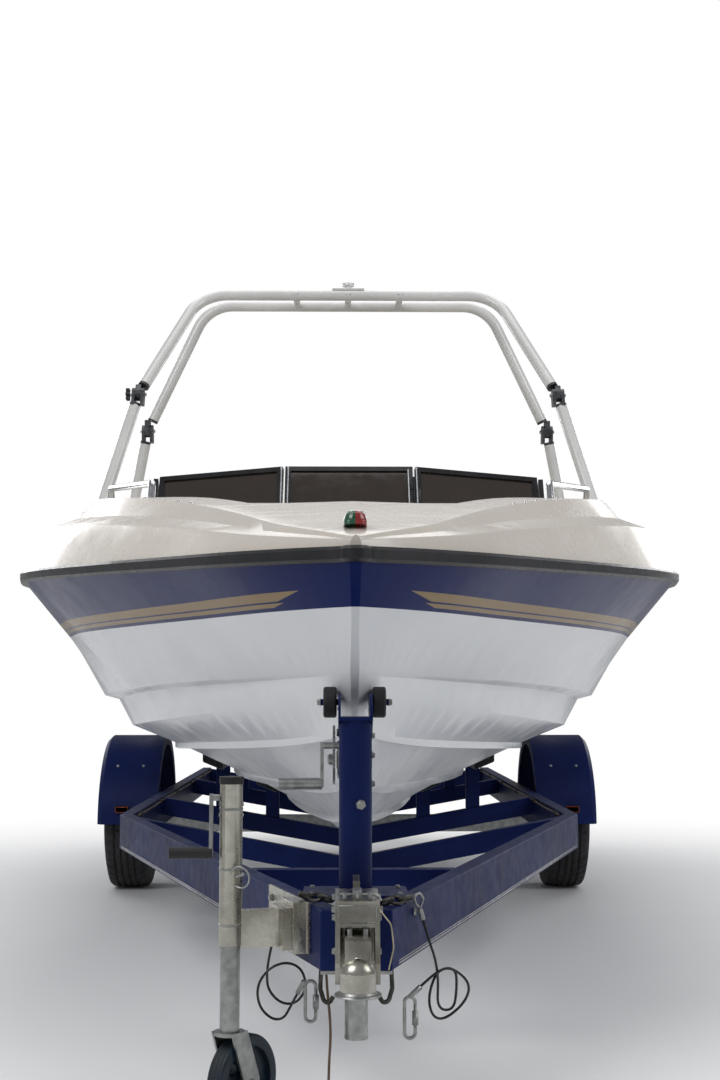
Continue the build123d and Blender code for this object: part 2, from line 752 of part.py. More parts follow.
# Stern drive
PIVOT_AFT = 6125
PIVOT_Z = 700
HOUSING_HALF = 185
HOUSING_THICK = 25
ARM_HALF = 35
ARM_TOP = 792
ARM_FOOT = 545
ARM_THICK = 24
RING_HALF = 140
RING_TOP = 780
RING_FOOT = 590
RING_BAR = 25
RING_THICK = 30
STEER_PIN = 12
YOKE_PIN = 10
YOKE_GAP = 2
YOKE_THICK = 18
PROP_Z = 265
ANTIVENT_Z = 455
PROP_RADIUS = 180
PROP_HUB = 36
PROP_HUB_LENGTH = 120
PROP_BACK = HULL_LENGTH + PROP_REACH
TRIM_X = 166
TRIM_PIVOT = (6125, 610)
TRIM_EYE = (6405, 640)
TRIM_BARREL = 22
TRIM_ROD = 10
TRIM_EYE_RADIUS = 17
TRIM_HALF = 8


def transom(z):
    """How far aft the transom's face is at a height."""
    last = STATIONS[-1]
    return last.keel_aft + (z - last.keel_z) / (last.joint_z - last.keel_z) * (last.joint_aft - last.keel_aft)


with BuildPart() as gimbal_housing:
    side_plate(
        -HOUSING_HALF,
        HOUSING_HALF,
        [
            (transom(500), 500),
            (transom(500) + HOUSING_THICK, 500),
            (transom(870) + HOUSING_THICK, 870),
            (transom(870), 870),
        ],
    )
    for z in (ARM_FOOT, ARM_TOP):
        block(0, transom(z) + 12, z, 2 * ARM_HALF, PIVOT_AFT + 25 - transom(z) - 12, ARM_THICK)
    with BuildSketch(Plane.XY.offset(ARM_FOOT - 1)) as bore:
        with Locations((0, at(PIVOT_AFT))):
            Circle(STEER_PIN + 0.5)
    extrude(bore.sketch, amount=ARM_TOP - ARM_FOOT + ARM_THICK + 2, mode=Mode.SUBTRACT)

with BuildPart() as gimbal_ring:
    block(0, PIVOT_AFT - RING_THICK / 2, RING_FOOT, 2 * RING_HALF, RING_THICK, RING_TOP - RING_FOOT)
    block(
        0,
        PIVOT_AFT - RING_THICK,
        RING_FOOT + RING_BAR,
        2 * (RING_HALF - RING_BAR),
        2 * RING_THICK,
        RING_TOP - RING_FOOT - 2 * RING_BAR,
        Mode.SUBTRACT,
    )
    post(0, PIVOT_AFT, RING_TOP - 5, ARM_TOP + ARM_THICK, STEER_PIN)
    post(0, PIVOT_AFT, ARM_FOOT, RING_FOOT + 5, STEER_PIN)
    for side in (1, -1):
        low = min(side * (RING_HALF - RING_BAR - YOKE_GAP - YOKE_THICK), side * (RING_HALF - 5))
        length = YOKE_THICK + YOKE_GAP + RING_BAR - 5
        cross_bar(low, low + length, PIVOT_AFT, PIVOT_Z, YOKE_PIN)
        low = min(side * (RING_HALF - 5), side * (TRIM_X + TRIM_HALF))
        length = TRIM_X + TRIM_HALF - RING_HALF + 5
        cross_bar(low, low + length, *TRIM_PIVOT, YOKE_PIN)

with BuildPart() as drive_leg:
    side_plate(-70, 70, [(6205, 640), (6205, 725), (6265, 778), (6400, 770), (6430, 700), (6430, 620), (6300, 560)])
    fillet(drive_leg.edges().filter_by(Plane.YZ), 14)
    yoke = RING_HALF - RING_BAR - YOKE_GAP
    block(0, 6190, PIVOT_Z - 32, 2 * yoke, 60, 64)
    for side in (1, -1):
        low = min(side * yoke, side * (yoke - YOKE_THICK))
        side_plate(low, low + YOKE_THICK, [(PIVOT_AFT, 672), (6195, 668), (6195, 732), (PIVOT_AFT, 728)])
        cross_bar(low, low + YOKE_THICK, PIVOT_AFT, PIVOT_Z, 28)
        cross_bar(low, low + YOKE_THICK, PIVOT_AFT, PIVOT_Z, YOKE_PIN + 0.5, Mode.SUBTRACT)
        eye = side * (TRIM_X - TRIM_ROD - 3)
        cross_bar(min(0, eye), max(0, eye), *TRIM_EYE, YOKE_PIN)
    with BuildSketch(Plane.XY.offset(PROP_Z)) as foil:
        with Locations((0, at(6305))):
            Ellipse(44, 125)
    extrude(foil.sketch, amount=620 - PROP_Z)
    with BuildSketch(Plane.XY.offset(ANTIVENT_Z)) as plate:
        with Locations((0, at(6395))):
            RectangleRounded(200, 430, 70)
    extrude(plate.sketch, amount=10)
    gear_back = PROP_BACK - 30 - PROP_HUB_LENGTH
    with BuildSketch(Plane.YZ) as case:
        with BuildLine():
            Polyline((at(6110), PROP_Z), (at(gear_back), PROP_Z), (at(gear_back), PROP_Z + 44))
            Line((at(gear_back), PROP_Z + 44), (at(6260), PROP_Z + 54))
            ThreePointArc((at(6260), PROP_Z + 54), (at(6150), PROP_Z + 34), (at(6110), PROP_Z))
        make_face()
    revolve(case.sketch, axis=Axis((0, at(6110), PROP_Z), (0, 1, 0)))
    side_plate(-6, 6, [(6190, PROP_Z - 30), (6420, PROP_Z - 30), (6410, 110), (6370, 92), (6330, 100)])

with BuildPart() as propeller:
    hub_plane = Plane(origin=(0, at(gear_back + 0.5), PROP_Z), z_dir=(0, 1, 0))
    with BuildSketch(hub_plane) as hub:
        Circle(PROP_HUB)
    extrude(hub.sketch, amount=PROP_HUB_LENGTH)
    with BuildSketch(hub_plane) as nut:
        Circle(14)
    extrude(nut.sketch, amount=PROP_HUB_LENGTH + 29)
    for k in range(3):
        turn = math.radians(90 + 120 * k)
        out = Vector(math.cos(turn), 0, math.sin(turn))
        around = Vector(-math.sin(turn), 0, math.cos(turn))
        face = around * math.sin(math.radians(28)) + Vector(0, 1, 0) * math.cos(math.radians(28))
        middle = Vector(0, at(gear_back + 60), PROP_Z) + out * (PROP_RADIUS / 2 + 12)
        with BuildSketch(Plane(origin=middle, x_dir=out, z_dir=face)) as blade:
            Ellipse(PROP_RADIUS / 2 - 12, 62)
        extrude(blade.sketch, amount=3, both=True)

trim_way = Vector(0, TRIM_EYE[0] - TRIM_PIVOT[0], TRIM_EYE[1] - TRIM_PIVOT[1])
trim_length = trim_way.length
trim_way = trim_way.normalized()


def trim_bar(x, start, end, radius, mode=Mode.ADD):
    """Round bar along a trim cylinder, between distances from its lower pivot."""
    origin = Vector(x, at(TRIM_PIVOT[0]), TRIM_PIVOT[1]) + trim_way * start
    with BuildSketch(Plane(origin=origin, z_dir=trim_way)) as ring:
        Circle(radius)
    extrude(ring.sketch, amount=end - start, mode=mode)


with BuildPart() as trim_barrels:
    for side in (1, -1):
        x = side * TRIM_X
        cross_bar(x - TRIM_HALF, x + TRIM_HALF, *TRIM_PIVOT, TRIM_EYE_RADIUS + 3)
        trim_bar(x, 12, 185, TRIM_BARREL)
        trim_bar(x, 40, 186, TRIM_ROD + 0.5, Mode.SUBTRACT)
        cross_bar(x - 40, x + 40, *TRIM_PIVOT, YOKE_PIN + 0.5, Mode.SUBTRACT)

with BuildPart() as trim_rods:
    for side in (1, -1):
        x = side * TRIM_X
        trim_bar(x, 100, trim_length - 8, TRIM_ROD)
        cross_bar(x - TRIM_HALF, x + TRIM_HALF, *TRIM_EYE, TRIM_EYE_RADIUS)

save(tower_lower_knuckles, "tower_lower_knuckles")
save(tower_upper_knuckles, "tower_upper_knuckles")
save(tower_hoops, "tower_hoops")
save(swim_platform, "swim_platform")
save(ladder, "ladder")
save(gimbal_housing, "gimbal_housing")
save(gimbal_ring, "gimbal_ring")
save(drive_leg, "drive_leg")
save(propeller, "propeller")
save(trim_barrels, "trim_barrels")
save(trim_rods, "trim_rods")
# Trailer frame
FRAME_TOP = 480
BEAM_HEIGHT = 127
BEAM_WIDTH = 50
FRAME_FOOT = FRAME_TOP - BEAM_HEIGHT
FRAME_HALF = 870
APEX_AFT = -170
APEX_HALF = 77
CORNER_AFT = 2330
TAIL_AFT = 5800
SPREAD = (FRAME_HALF - APEX_HALF) / (CORNER_AFT - APEX_AFT)
SPREAD_ANGLE = math.atan(SPREAD)
SLANT_WIDTH = BEAM_WIDTH / math.cos(SPREAD_ANGLE)
MEMBER_HEIGHT = 76
MEMBER_WIDTH = 50
TONGUE_MEMBER_AFT = 560
MEMBER_AFTS = (2200, 3300, 4700, 5720)
MEMBER_DROP = 150
BUNK_FRONT = 2750
BUNK_BACK = 5780
BUNK_WIDTH = 90
BUNK_THICK = 40
BUNK_XS = (335, 556)
BRACKET_WIDTH = 60


def tongue_outer(aft):
    """Half breadth over the tongue beams."""
    return APEX_HALF + (aft - APEX_AFT) * SPREAD


with BuildPart() as trailer_rails:
    inner_corner = CORNER_AFT + (SLANT_WIDTH - BEAM_WIDTH) / SPREAD
    for side in (1, -1):
        beam = [
            (APEX_HALF - SLANT_WIDTH, APEX_AFT),
            (APEX_HALF, APEX_AFT),
            (FRAME_HALF, CORNER_AFT),
            (FRAME_HALF, TAIL_AFT),
            (FRAME_HALF - BEAM_WIDTH, TAIL_AFT),
            (FRAME_HALF - BEAM_WIDTH, inner_corner),
        ]
        with BuildSketch(Plane.XY.offset(FRAME_FOOT)):
            Polygon(*[(side * x, at(aft)) for x, aft in beam], align=None)
        extrude(amount=BEAM_HEIGHT)

with BuildPart() as cross_members:
    half = tongue_outer(TONGUE_MEMBER_AFT) - BEAM_WIDTH / 2
    block(0, TONGUE_MEMBER_AFT, FRAME_TOP - MEMBER_HEIGHT, 2 * half, MEMBER_WIDTH, MEMBER_HEIGHT)
    for aft in MEMBER_AFTS:
        half = min(tongue_outer(aft), FRAME_HALF) - BEAM_WIDTH / 2
        with BuildSketch(up_plane(aft + MEMBER_WIDTH)):
            outline([
                (-half, FRAME_TOP),
                (0, FRAME_TOP - MEMBER_DROP),
                (half, FRAME_TOP),
                (half, FRAME_TOP - MEMBER_HEIGHT),
                (0, FRAME_TOP - MEMBER_DROP - MEMBER_HEIGHT),
                (-half, FRAME_TOP - MEMBER_HEIGHT),
            ])
        extrude(amount=MEMBER_WIDTH)
    add(trailer_rails.part, mode=Mode.SUBTRACT)

bottom = STATIONS[-1]
DEADRISE = math.atan((bottom.chine_z - bottom.keel_z) / bottom.chine_half)


def hull_bottom(x):
    """Height of the parallel hull bottom beside the keel."""
    return bottom.keel_z + abs(x) * math.tan(DEADRISE)


def bunk_under(x):
    return hull_bottom(x) - (SEAT_GAP + BUNK_THICK) / math.cos(DEADRISE)


def member_top(x):
    half = FRAME_HALF - BEAM_WIDTH / 2
    return FRAME_TOP - MEMBER_DROP * (1 - abs(x) / half)


with BuildPart() as bunks:
    reach = BUNK_WIDTH / 2 * math.cos(DEADRISE)
    gap = SEAT_GAP / math.cos(DEADRISE)
    for x in BUNK_XS:
        for side in (1, -1):
            top = [(x + end, hull_bottom(x + end) - gap) for end in (-reach, reach)]
            under = [(x + end, bunk_under(x + end)) for end in (reach, -reach)]
            with BuildSketch(up_plane(BUNK_BACK)):
                outline([(side * px, pz) for px, pz in top + under])
            extrude(amount=BUNK_BACK - BUNK_FRONT)

with BuildPart() as bunk_brackets:
    for aft in MEMBER_AFTS[1:]:
        for x in BUNK_XS:
            for side in (1, -1):
                ends = (x - BRACKET_WIDTH / 2, x + BRACKET_WIDTH / 2)
                foot = [(px, member_top(px)) for px in ends]
                head = [(px, bunk_under(px)) for px in reversed(ends)]
                with BuildSketch(up_plane(aft + 45)):
                    outline([(side * px, pz) for px, pz in foot + head])
                extrude(amount=40)

# Winch post, bow stop and winch
POST_AFT = 50
POST_RADIUS = 38
POST_TOP = 880
PLATE = 10
STOP_AFT = 268
STOP_Z = 920
STOP_ROLLER = 38
STOP_ROLLER_IN = 44
STOP_ROLLER_OUT = 77
STOP_PLATE = 6
WINCH_Z = 786
WINCH_AFT = 140
DRUM_RADIUS = 25
CRANK_X = -78
CRANK_LENGTH = 105
GRIP_RADIUS = 14
GRIP_LENGTH = 95
STRAP_WIDTH = 44
STRAP = 3

with BuildPart() as winch_post:
    block(0, POST_AFT - 70, FRAME_TOP, 240, 170, PLATE)
    post(0, POST_AFT, FRAME_TOP + PLATE, POST_TOP, POST_RADIUS)

with BuildPart() as bow_stop:
    block(0, POST_AFT - 40, POST_TOP, 2 * 40, 120, 8)
    for side in (1, -1):
        low = min(side * 34, side * (34 + STOP_PLATE))
        side_plate(
            low,
            low + STOP_PLATE,
            [
                (POST_AFT - 30, POST_TOP),
                (POST_AFT + 60, POST_TOP - 40),
                (POST_AFT + 90, POST_TOP - 40),
                (STOP_AFT + 10, STOP_Z - 20),
                (STOP_AFT + 10, STOP_Z + 8),
                (STOP_AFT - 24, STOP_Z + 22),
                (POST_AFT + 40, STOP_Z + 22),
                (POST_AFT - 30, POST_TOP + 34),
            ],
        )
        low = min(side * 34, side * (STOP_ROLLER_OUT + 8))
        cross_bar(low, low + STOP_ROLLER_OUT - 26, STOP_AFT, STOP_Z, 8)
    add(winch_post.part, mode=Mode.SUBTRACT)

with BuildPart() as bow_rollers:
    for side in (1, -1):
        low = min(side * STOP_ROLLER_IN, side * STOP_ROLLER_OUT)
        width = STOP_ROLLER_OUT - STOP_ROLLER_IN
        cross_bar(low, low + width, STOP_AFT, STOP_Z, STOP_ROLLER)
    fillet(bow_rollers.edges().filter_by(GeomType.CIRCLE), 6)
    cross_bar(-100, 100, STOP_AFT, STOP_Z, 8, Mode.SUBTRACT)

with BuildPart() as winch:
    for x in (-34, 30):
        side_plate(
            x,
            x + 4,
            [
                (POST_AFT + 20, WINCH_Z - 40),
                (WINCH_AFT + 30, WINCH_Z - 34),
                (WINCH_AFT + 34, WINCH_Z + 34),
                (POST_AFT + 20, WINCH_Z + 50),
            ],
        )
    cross_bar(-44, 40, WINCH_AFT, WINCH_Z, DRUM_RADIUS - 4)
    cross_bar(-42, -36, WINCH_AFT, WINCH_Z, 44)
    cross_bar(CRANK_X, -30, WINCH_AFT - 30, WINCH_Z + 34, 8)
    block(CRANK_X, WINCH_AFT - 38, WINCH_Z + 42 - CRANK_LENGTH, 8, 16, CRANK_LENGTH)
    grip_z = WINCH_Z + 50 - CRANK_LENGTH
    cross_bar(CRANK_X - GRIP_LENGTH - 6, CRANK_X, WINCH_AFT - 30, grip_z, GRIP_RADIUS)
    add(winch_post.part, mode=Mode.SUBTRACT)



def stem(z):
    """How far aft the raked stem is at a height."""
    tip = STATIONS[0]
    return tip.keel_aft * (tip.joint_z - z) / (tip.joint_z - tip.keel_z)


with BuildPart() as bow_eye:
    eye_aft = stem(EYE_Z) - EYE_REACH
    for z in (EYE_Z - EYE_HALF, EYE_Z + EYE_HALF):
        plane = Plane(origin=(0, at(eye_aft), z), z_dir=(0, 1, 0))
        with BuildSketch(plane) as ring:
            Circle(EYE_BAR)
        extrude(ring.sketch, amount=stem(z + EYE_BAR) - SEAT_GAP - eye_aft)
    post(0, eye_aft, EYE_Z - EYE_HALF - EYE_BAR, EYE_Z + EYE_HALF + EYE_BAR, EYE_BAR)

with BuildPart() as winch_strap:
    side_plate(
        -STRAP_WIDTH / 2,
        STRAP_WIDTH / 2,
        [
            (WINCH_AFT, WINCH_Z + DRUM_RADIUS),
            (eye_aft - EYE_BAR - SEAT_GAP, EYE_Z),
            (eye_aft - EYE_BAR - SEAT_GAP, EYE_Z + STRAP),
            (WINCH_AFT, WINCH_Z + DRUM_RADIUS + STRAP),
        ],
    )
    cross_bar(-STRAP_WIDTH / 2, STRAP_WIDTH / 2, WINCH_AFT, WINCH_Z, DRUM_RADIUS + STRAP)
    add(winch.part, mode=Mode.SUBTRACT)

# Coupler
BALL = 25.4
BALL_GAP = 0.4
CUP_WALL = 10
BALL_AFT = -COUPLER_REACH + BALL + CUP_WALL
BALL_Z = 385
COUPLER_HALF = 45
STUB_AFT = -128
STUB_RADIUS = 25
STUB_FOOT = 205

with BuildPart() as coupler:
    post(0, BALL_AFT, BALL_Z - 30, BALL_Z + 15, BALL + CUP_WALL)
    with Locations((0, at(BALL_AFT), BALL_Z + 8)):
        Sphere(BALL + CUP_WALL)
    block(0, BALL_AFT - 10, BALL_Z + 14, 52, APEX_AFT - BALL_AFT + 10 - 60, 62)
    block(0, APEX_AFT - 110, 362, 2 * COUPLER_HALF, 110, 112)
    block(0, APEX_AFT - 200, 474, 2 * COUPLER_HALF, 200, 52)
    for side in (1, -1):
        side_plate(
            side * 40 - 5,
            side * 40 + 5,
            [(APEX_AFT - 240, 370), (APEX_AFT - 110, 362), (APEX_AFT - 110, 500), (APEX_AFT - 200, 500), (APEX_AFT - 240, 410)],
        )
    block(0, APEX_AFT - 40, 526, 14, 120, 20)
    with Locations((0, at(BALL_AFT), BALL_Z)):
        Sphere(BALL + BALL_GAP, mode=Mode.SUBTRACT)
    with BuildSketch(Plane.XY.offset(BALL_Z - 31)) as mouth:
        with Locations((0, at(BALL_AFT))):
            Circle(BALL + BALL_GAP)
    extrude(mouth.sketch, amount=31, mode=Mode.SUBTRACT)

with BuildPart() as tongue_plates:
    block(0, APEX_AFT, FRAME_FOOT - 8, 2 * APEX_HALF, 110, 8)
    post(0, STUB_AFT, STUB_FOOT, FRAME_FOOT - 8, STUB_RADIUS)
    with BuildSketch(Plane.XY.offset(STUB_FOOT)) as bore:
        with Locations((0, at(STUB_AFT))):
            Circle(STUB_RADIUS - 5)
    extrude(bore.sketch, amount=120, mode=Mode.SUBTRACT)

# Jack
JACK_X = -275
JACK_AFT = -100
JACK_RADIUS = 25
JACK_WALL = 3
JACK_FOOT = 436
JACK_TOP = 744
JACK_TUBE_GAP = 0.5
JACK_INNER_TOP = 540
FORK_TOP = 214
FORK_PLATE = 8
CASTER_RADIUS = 100
CASTER_HALF = 20
CASTER_TRAIL = 45
CASTER_YAW = 35
FORK_IN = 25
FORK_LEG = 5
SWING_Z = 430
yaw = math.radians(CASTER_YAW)
trail_way = Vector(math.sin(yaw), math.cos(yaw), 0)
caster_axis = Vector(math.cos(yaw), -math.sin(yaw), 0)
caster_centre = Vector(JACK_X, at(JACK_AFT), CASTER_RADIUS) + trail_way * CASTER_TRAIL
beam_way = Vector(-math.sin(SPREAD_ANGLE), math.cos(SPREAD_ANGLE), 0)
beam_out = Vector(-math.cos(SPREAD_ANGLE), -math.sin(SPREAD_ANGLE), 0)
jack_axis = Vector(JACK_X, at(JACK_AFT), SWING_Z)
beam_face = Vector(-APEX_HALF, at(APEX_AFT), SWING_Z)
JACK_REACH = (jack_axis - beam_face).dot(beam_out)
JACK_ALONG = (jack_axis - beam_face).dot(beam_way)


def swing_plane(reach):
    """Plane parallel to the starboard tongue beam, so far out from its face."""
    origin = beam_face + beam_out * reach + beam_way * JACK_ALONG
    return Plane(origin=origin, x_dir=beam_way, z_dir=beam_out)


def swing_plate(reach_from, reach_to, width, height, drop=0, mode=Mode.ADD):
    with BuildSketch(swing_plane(reach_from)) as face:
        with Locations((0, drop)):
            Rectangle(width, height)
    extrude(face.sketch, amount=reach_to - reach_from, mode=mode)


SWING_PIN = 12
SWING_GAP = 0.5
BRACKET_REACH = 40
ARM_REACH = 62

with BuildPart() as jack_bracket:
    with BuildSketch(swing_plane(0)) as face:
        with Locations((110, -2)):
            Rectangle(330, 110)
    extrude(face.sketch, amount=8)
    swing_plate(8, BRACKET_REACH, 100, 110, -2)
    with BuildSketch(swing_plane(BRACKET_REACH - 1)) as pin:
        Circle(SWING_PIN)
    extrude(pin.sketch, amount=ARM_REACH - BRACKET_REACH - 4)
    add(trailer_rails.part, mode=Mode.SUBTRACT)

with BuildPart() as jack_outer:
    post(JACK_X, JACK_AFT, JACK_FOOT - 40, JACK_TOP, JACK_RADIUS)
    swing_plate(BRACKET_REACH + SWING_GAP, ARM_REACH, 90, 90)
    swing_plate(ARM_REACH - 1, JACK_REACH, 30, 80)
    with BuildSketch(swing_plane(BRACKET_REACH)) as pin:
        Circle(SWING_PIN + SWING_GAP)
    extrude(pin.sketch, amount=ARM_REACH - BRACKET_REACH - 3, mode=Mode.SUBTRACT)
    with BuildSketch(Plane.XY.offset(JACK_FOOT - 80)) as bore:
        with Locations((JACK_X, at(JACK_AFT))):
            Circle(JACK_RADIUS - JACK_WALL)
    extrude(bore.sketch, amount=JACK_TOP - 6 - JACK_FOOT + 80, mode=Mode.SUBTRACT)
    post(JACK_X, JACK_AFT, JACK_TOP, JACK_TOP + 16, JACK_RADIUS + 2)
    cross_bar(JACK_X - 40, JACK_X - JACK_RADIUS, JACK_AFT, JACK_TOP - 30, 7)
    block(JACK_X - 44, JACK_AFT - 8, JACK_TOP - 150, 8, 16, 128)
    cross_bar(JACK_X - 135, JACK_X - 40, JACK_AFT, JACK_TOP - 150, 13)

with BuildPart() as jack_inner:
    post(JACK_X, JACK_AFT, FORK_TOP, JACK_INNER_TOP, JACK_RADIUS - JACK_WALL - JACK_TUBE_GAP)

fork_plane = Plane(origin=caster_centre, x_dir=trail_way, z_dir=caster_axis)

with BuildPart() as caster_fork:
    post(JACK_X, JACK_AFT, FORK_TOP - FORK_PLATE - SEAT_GAP, FORK_TOP - SEAT_GAP, 34)
    for side in (1, -1):
        head = FORK_TOP - SEAT_GAP - CASTER_RADIUS
        with BuildSketch(fork_plane.offset(side * (FORK_IN + FORK_LEG / 2))) as face:
            outline([(-CASTER_TRAIL - 26, head), (-CASTER_TRAIL + 26, head), (24, 6), (16, -20), (-16, -20), (-30, 6)])
        extrude(face.sketch, amount=FORK_LEG / 2, both=True)
    with BuildSketch(fork_plane) as pin:
        Circle(6)
    extrude(pin.sketch, amount=FORK_IN + FORK_LEG, both=True)

with BuildPart() as caster_wheel:
    with BuildSketch(fork_plane) as disc:
        Circle(CASTER_RADIUS)
    extrude(disc.sketch, amount=CASTER_HALF, both=True)
    fillet(caster_wheel.edges(), 6)
    for side in (1, -1):
        with BuildSketch(fork_plane.offset(side * CASTER_HALF)) as ring:
            Circle(76)
            Circle(28, mode=Mode.SUBTRACT)
        extrude(ring.sketch, amount=-side * 13, mode=Mode.SUBTRACT)
    with BuildSketch(fork_plane) as holes:
        with PolarLocations(52, 5):
            Circle(14)
        Circle(6.5)
    extrude(holes.sketch, amount=CASTER_HALF + 1, both=True, mode=Mode.SUBTRACT)

# Axle, wheels and fenders
WHEEL_AFT = 4000
WHEEL_Z = 330
WHEEL_X = 1045
TYRE_RADIUS = 330
TYRE_HALF = 103
RIM_RADIUS = 178
AXLE_AFT = 3860
AXLE_TUBE = 76
AXLE_HALF = 898
TRAIL_ARM = 34
SPINDLE = 20
HUB = 70
STUD_CIRCLE = 57
STUD = 6
STUDS = 5
FENDER_RADIUS = 400
FENDER_HALF = 140
FENDER_SHEET = 4
FENDER_LIP = 45
FENDER_X = 1021

with BuildPart() as axle:
    block(0, AXLE_AFT - AXLE_TUBE / 2, FRAME_FOOT - AXLE_TUBE, 2 * AXLE_HALF, AXLE_TUBE, AXLE_TUBE)
    for side in (1, -1):
        low = min(side * AXLE_HALF, side * (AXLE_HALF + TRAIL_ARM))
        side_plate(low, low + TRAIL_ARM, [(AXLE_AFT - 36, 282), (WHEEL_AFT, 300), (WHEEL_AFT, 360), (AXLE_AFT - 36, 348)])
        cross_bar(low, low + TRAIL_ARM, WHEEL_AFT, WHEEL_Z, 34)
        end = side * (AXLE_HALF + TRAIL_ARM - 2)
        tip = side * (WHEEL_X + 20)
        cross_bar(min(end, tip), max(end, tip), WHEEL_AFT, WHEEL_Z, SPINDLE)


def wheel_section(side, points):
    """Spin a (distance from the wheel's middle plane, radius) outline about the wheel's axis."""
    with BuildSketch(Plane.XY.offset(WHEEL_Z)) as face:
        outline([(side * (WHEEL_X + out), at(WHEEL_AFT) + r) for out, r in points])
    revolve(face.sketch, axis=Axis((0, at(WHEEL_AFT), WHEEL_Z), (1, 0, 0)))


TYRE_SECTION = [
    (-85, RIM_RADIUS),
    (-100, 215),
    (-TYRE_HALF, 258),
    (-94, 305),
    (-78, 325),
    (-66, TYRE_RADIUS),
    (66, TYRE_RADIUS),
    (78, 325),
    (94, 305),
    (TYRE_HALF, 258),
    (100, 215),
    (85, RIM_RADIUS),
]
RIM_SECTION = [
    (-85, 186),
    (-80, RIM_RADIUS - SEAT_GAP),
    (80, RIM_RADIUS - SEAT_GAP),
    (85, 186),
    (85, 168),
    (60, 160),
    (40, 150),
    (10, 148),
    (24, 110),
    (30, 80),
    (30, SPINDLE + 1),
    (18, SPINDLE + 1),
    (18, 70),
    (10, 108),
    (-4, 150),
    (-60, 160),
    (-85, 170),
]

for side, name in ((1, "port"), (-1, "starboard")):
    with BuildPart() as tyre:
        wheel_section(side, TYRE_SECTION)
    save(tyre, f"tyre_{name}")
    with BuildPart() as rim:
        wheel_section(side, [(out, min(r, RIM_RADIUS - SEAT_GAP)) for out, r in RIM_SECTION])
        wheel_section(side, [(-70, SPINDLE + 0.5), (-70, HUB), (18, HUB), (18, SPINDLE + 0.5)])
        wheel_section(side, [(22, SPINDLE + 0.5), (22, 42), (52, 36), (52, 0), (34, 0), (34, SPINDLE + 0.5)])
        stud_plane = Plane(origin=(side * (WHEEL_X + 28), at(WHEEL_AFT), WHEEL_Z), z_dir=(side, 0, 0))
        with BuildSketch(stud_plane) as studs:
            with PolarLocations(STUD_CIRCLE, STUDS):
                Circle(STUD + 4)
        extrude(studs.sketch, amount=20)
        with BuildSketch(stud_plane) as holes:
            with PolarLocations(128, 8):
                Circle(11)
        extrude(holes.sketch, amount=60, both=True, mode=Mode.SUBTRACT)
    save(rim, f"rim_{name}")

with BuildPart() as fenders:
    for side in (1, -1):
        inner, outer = FENDER_X - FENDER_HALF, FENDER_X + FENDER_HALF
        low, high = FENDER_RADIUS - FENDER_LIP, FENDER_RADIUS
        profile = [
            (inner, low),
            (inner, high),
            (outer - 20, high),
            (outer, high - 20),
            (outer, low),
            (outer - FENDER_SHEET, low),
            (outer - FENDER_SHEET, high - 22),
            (outer - 22, high - FENDER_SHEET),
            (inner + FENDER_SHEET, high - FENDER_SHEET),
            (inner + FENDER_SHEET, low),
        ]
        plane = Plane(origin=(0, at(WHEEL_AFT), WHEEL_Z), x_dir=(1, 0, 0), z_dir=(0, 0, 1))
        with BuildSketch(plane) as face:
            outline([(side * x, -r) for x, r in profile])
        revolve(
            face.sketch,
            axis=Axis((0, at(WHEEL_AFT), WHEEL_Z), (1, 0, 0)),
            revolution_arc=-180,
        )
        for aft in (WHEEL_AFT - 380, WHEEL_AFT + 340):
            block(side * (FRAME_HALF + inner + 2) / 2, aft, 400, inner + 2 - FRAME_HALF - 2 * SEAT_GAP, 40, 40)

with BuildPart() as lamps:
    for side in (1, -1):
        block(side * (FENDER_X + 24), WHEEL_AFT - FENDER_RADIUS - 14, 385, 60, 21, 28)
        block(side * 790, TAIL_AFT + SEAT_GAP, 375, 160, 40, 85)
    add(fenders.part, mode=Mode.SUBTRACT)

save(trailer_rails, "trailer_rails")
save(cross_members, "cross_members")
save(bunks, "bunks")
save(bunk_brackets, "bunk_brackets")
save(winch_post, "winch_post")
save(bow_stop, "bow_stop")
save(bow_rollers, "bow_rollers")
save(winch, "winch")
save(bow_eye, "bow_eye")
save(winch_strap, "winch_strap")
save(coupler, "coupler")
save(tongue_plates, "tongue_plates")
save(jack_bracket, "jack_bracket")
save(jack_outer, "jack_outer")
save(jack_inner, "jack_inner")
save(caster_fork, "caster_fork")
save(caster_wheel, "caster_wheel")
save(axle, "axle")
save(fenders, "fenders")
save(lamps, "lamps")
# Safety links, cables and wiring lead
LINK_BAR = 5
LINK_WIDTH = 17
LINK_ENDS = ((66, -112), (132, -47))
LINK_SEATS = ((1, FRAME_TOP), (-1, FRAME_TOP + 7))
CABLE = 3
FERRULE = 6
QUICK_BAR = 4
QUICK_WIDTH = 12
QUICK_LENGTH = 66
LEAD = 3
PLUG = (18, 9, 36)
PORT_CABLE = [
    (152, 0, 434),
    (164, 0, 392),
    (180, 0, 346),
    (186, 2, 299),
    (183, 6, 236),
    (222, 14, 232),
    (229, 18, 285),
    (226, 18, 326),
    (184, 14, 322),
    (162, 0, 265),
    (171, -9, 222),
    (202, 9, 213),
    (249, 12, 252),
    (259, 10, 293),
    (218, 4, 329),
    (183, -8, 324),
    (146, -10, 290),
]
STARBOARD_CABLE = [
    (-181, 80, 434),
    (-188, 80, 384),
    (-198, 80, 341),
    (-204, 82, 299),
    (-200, 90, 261),
    (-170, 98, 230),
    (-134, 100, 231),
    (-111, 92, 268),
    (-123, 82, 314),
    (-160, 74, 330),
    (-200, 68, 315),
    (-226, 66, 276),
    (-220, 66, 230),
    (-190, 68, 201),
    (-163, 70, 203),
    (-147, 60, 234),
    (-132, 54, 262),
]
LEAD_RUN = [
    (-66, -75, FRAME_FOOT - 8.3),
    (-64, -76, 300),
    (-58, -78, 250),
    (-55, -82, 196),
    (-59, -86, 142),
    (-60, -88, 90),
]
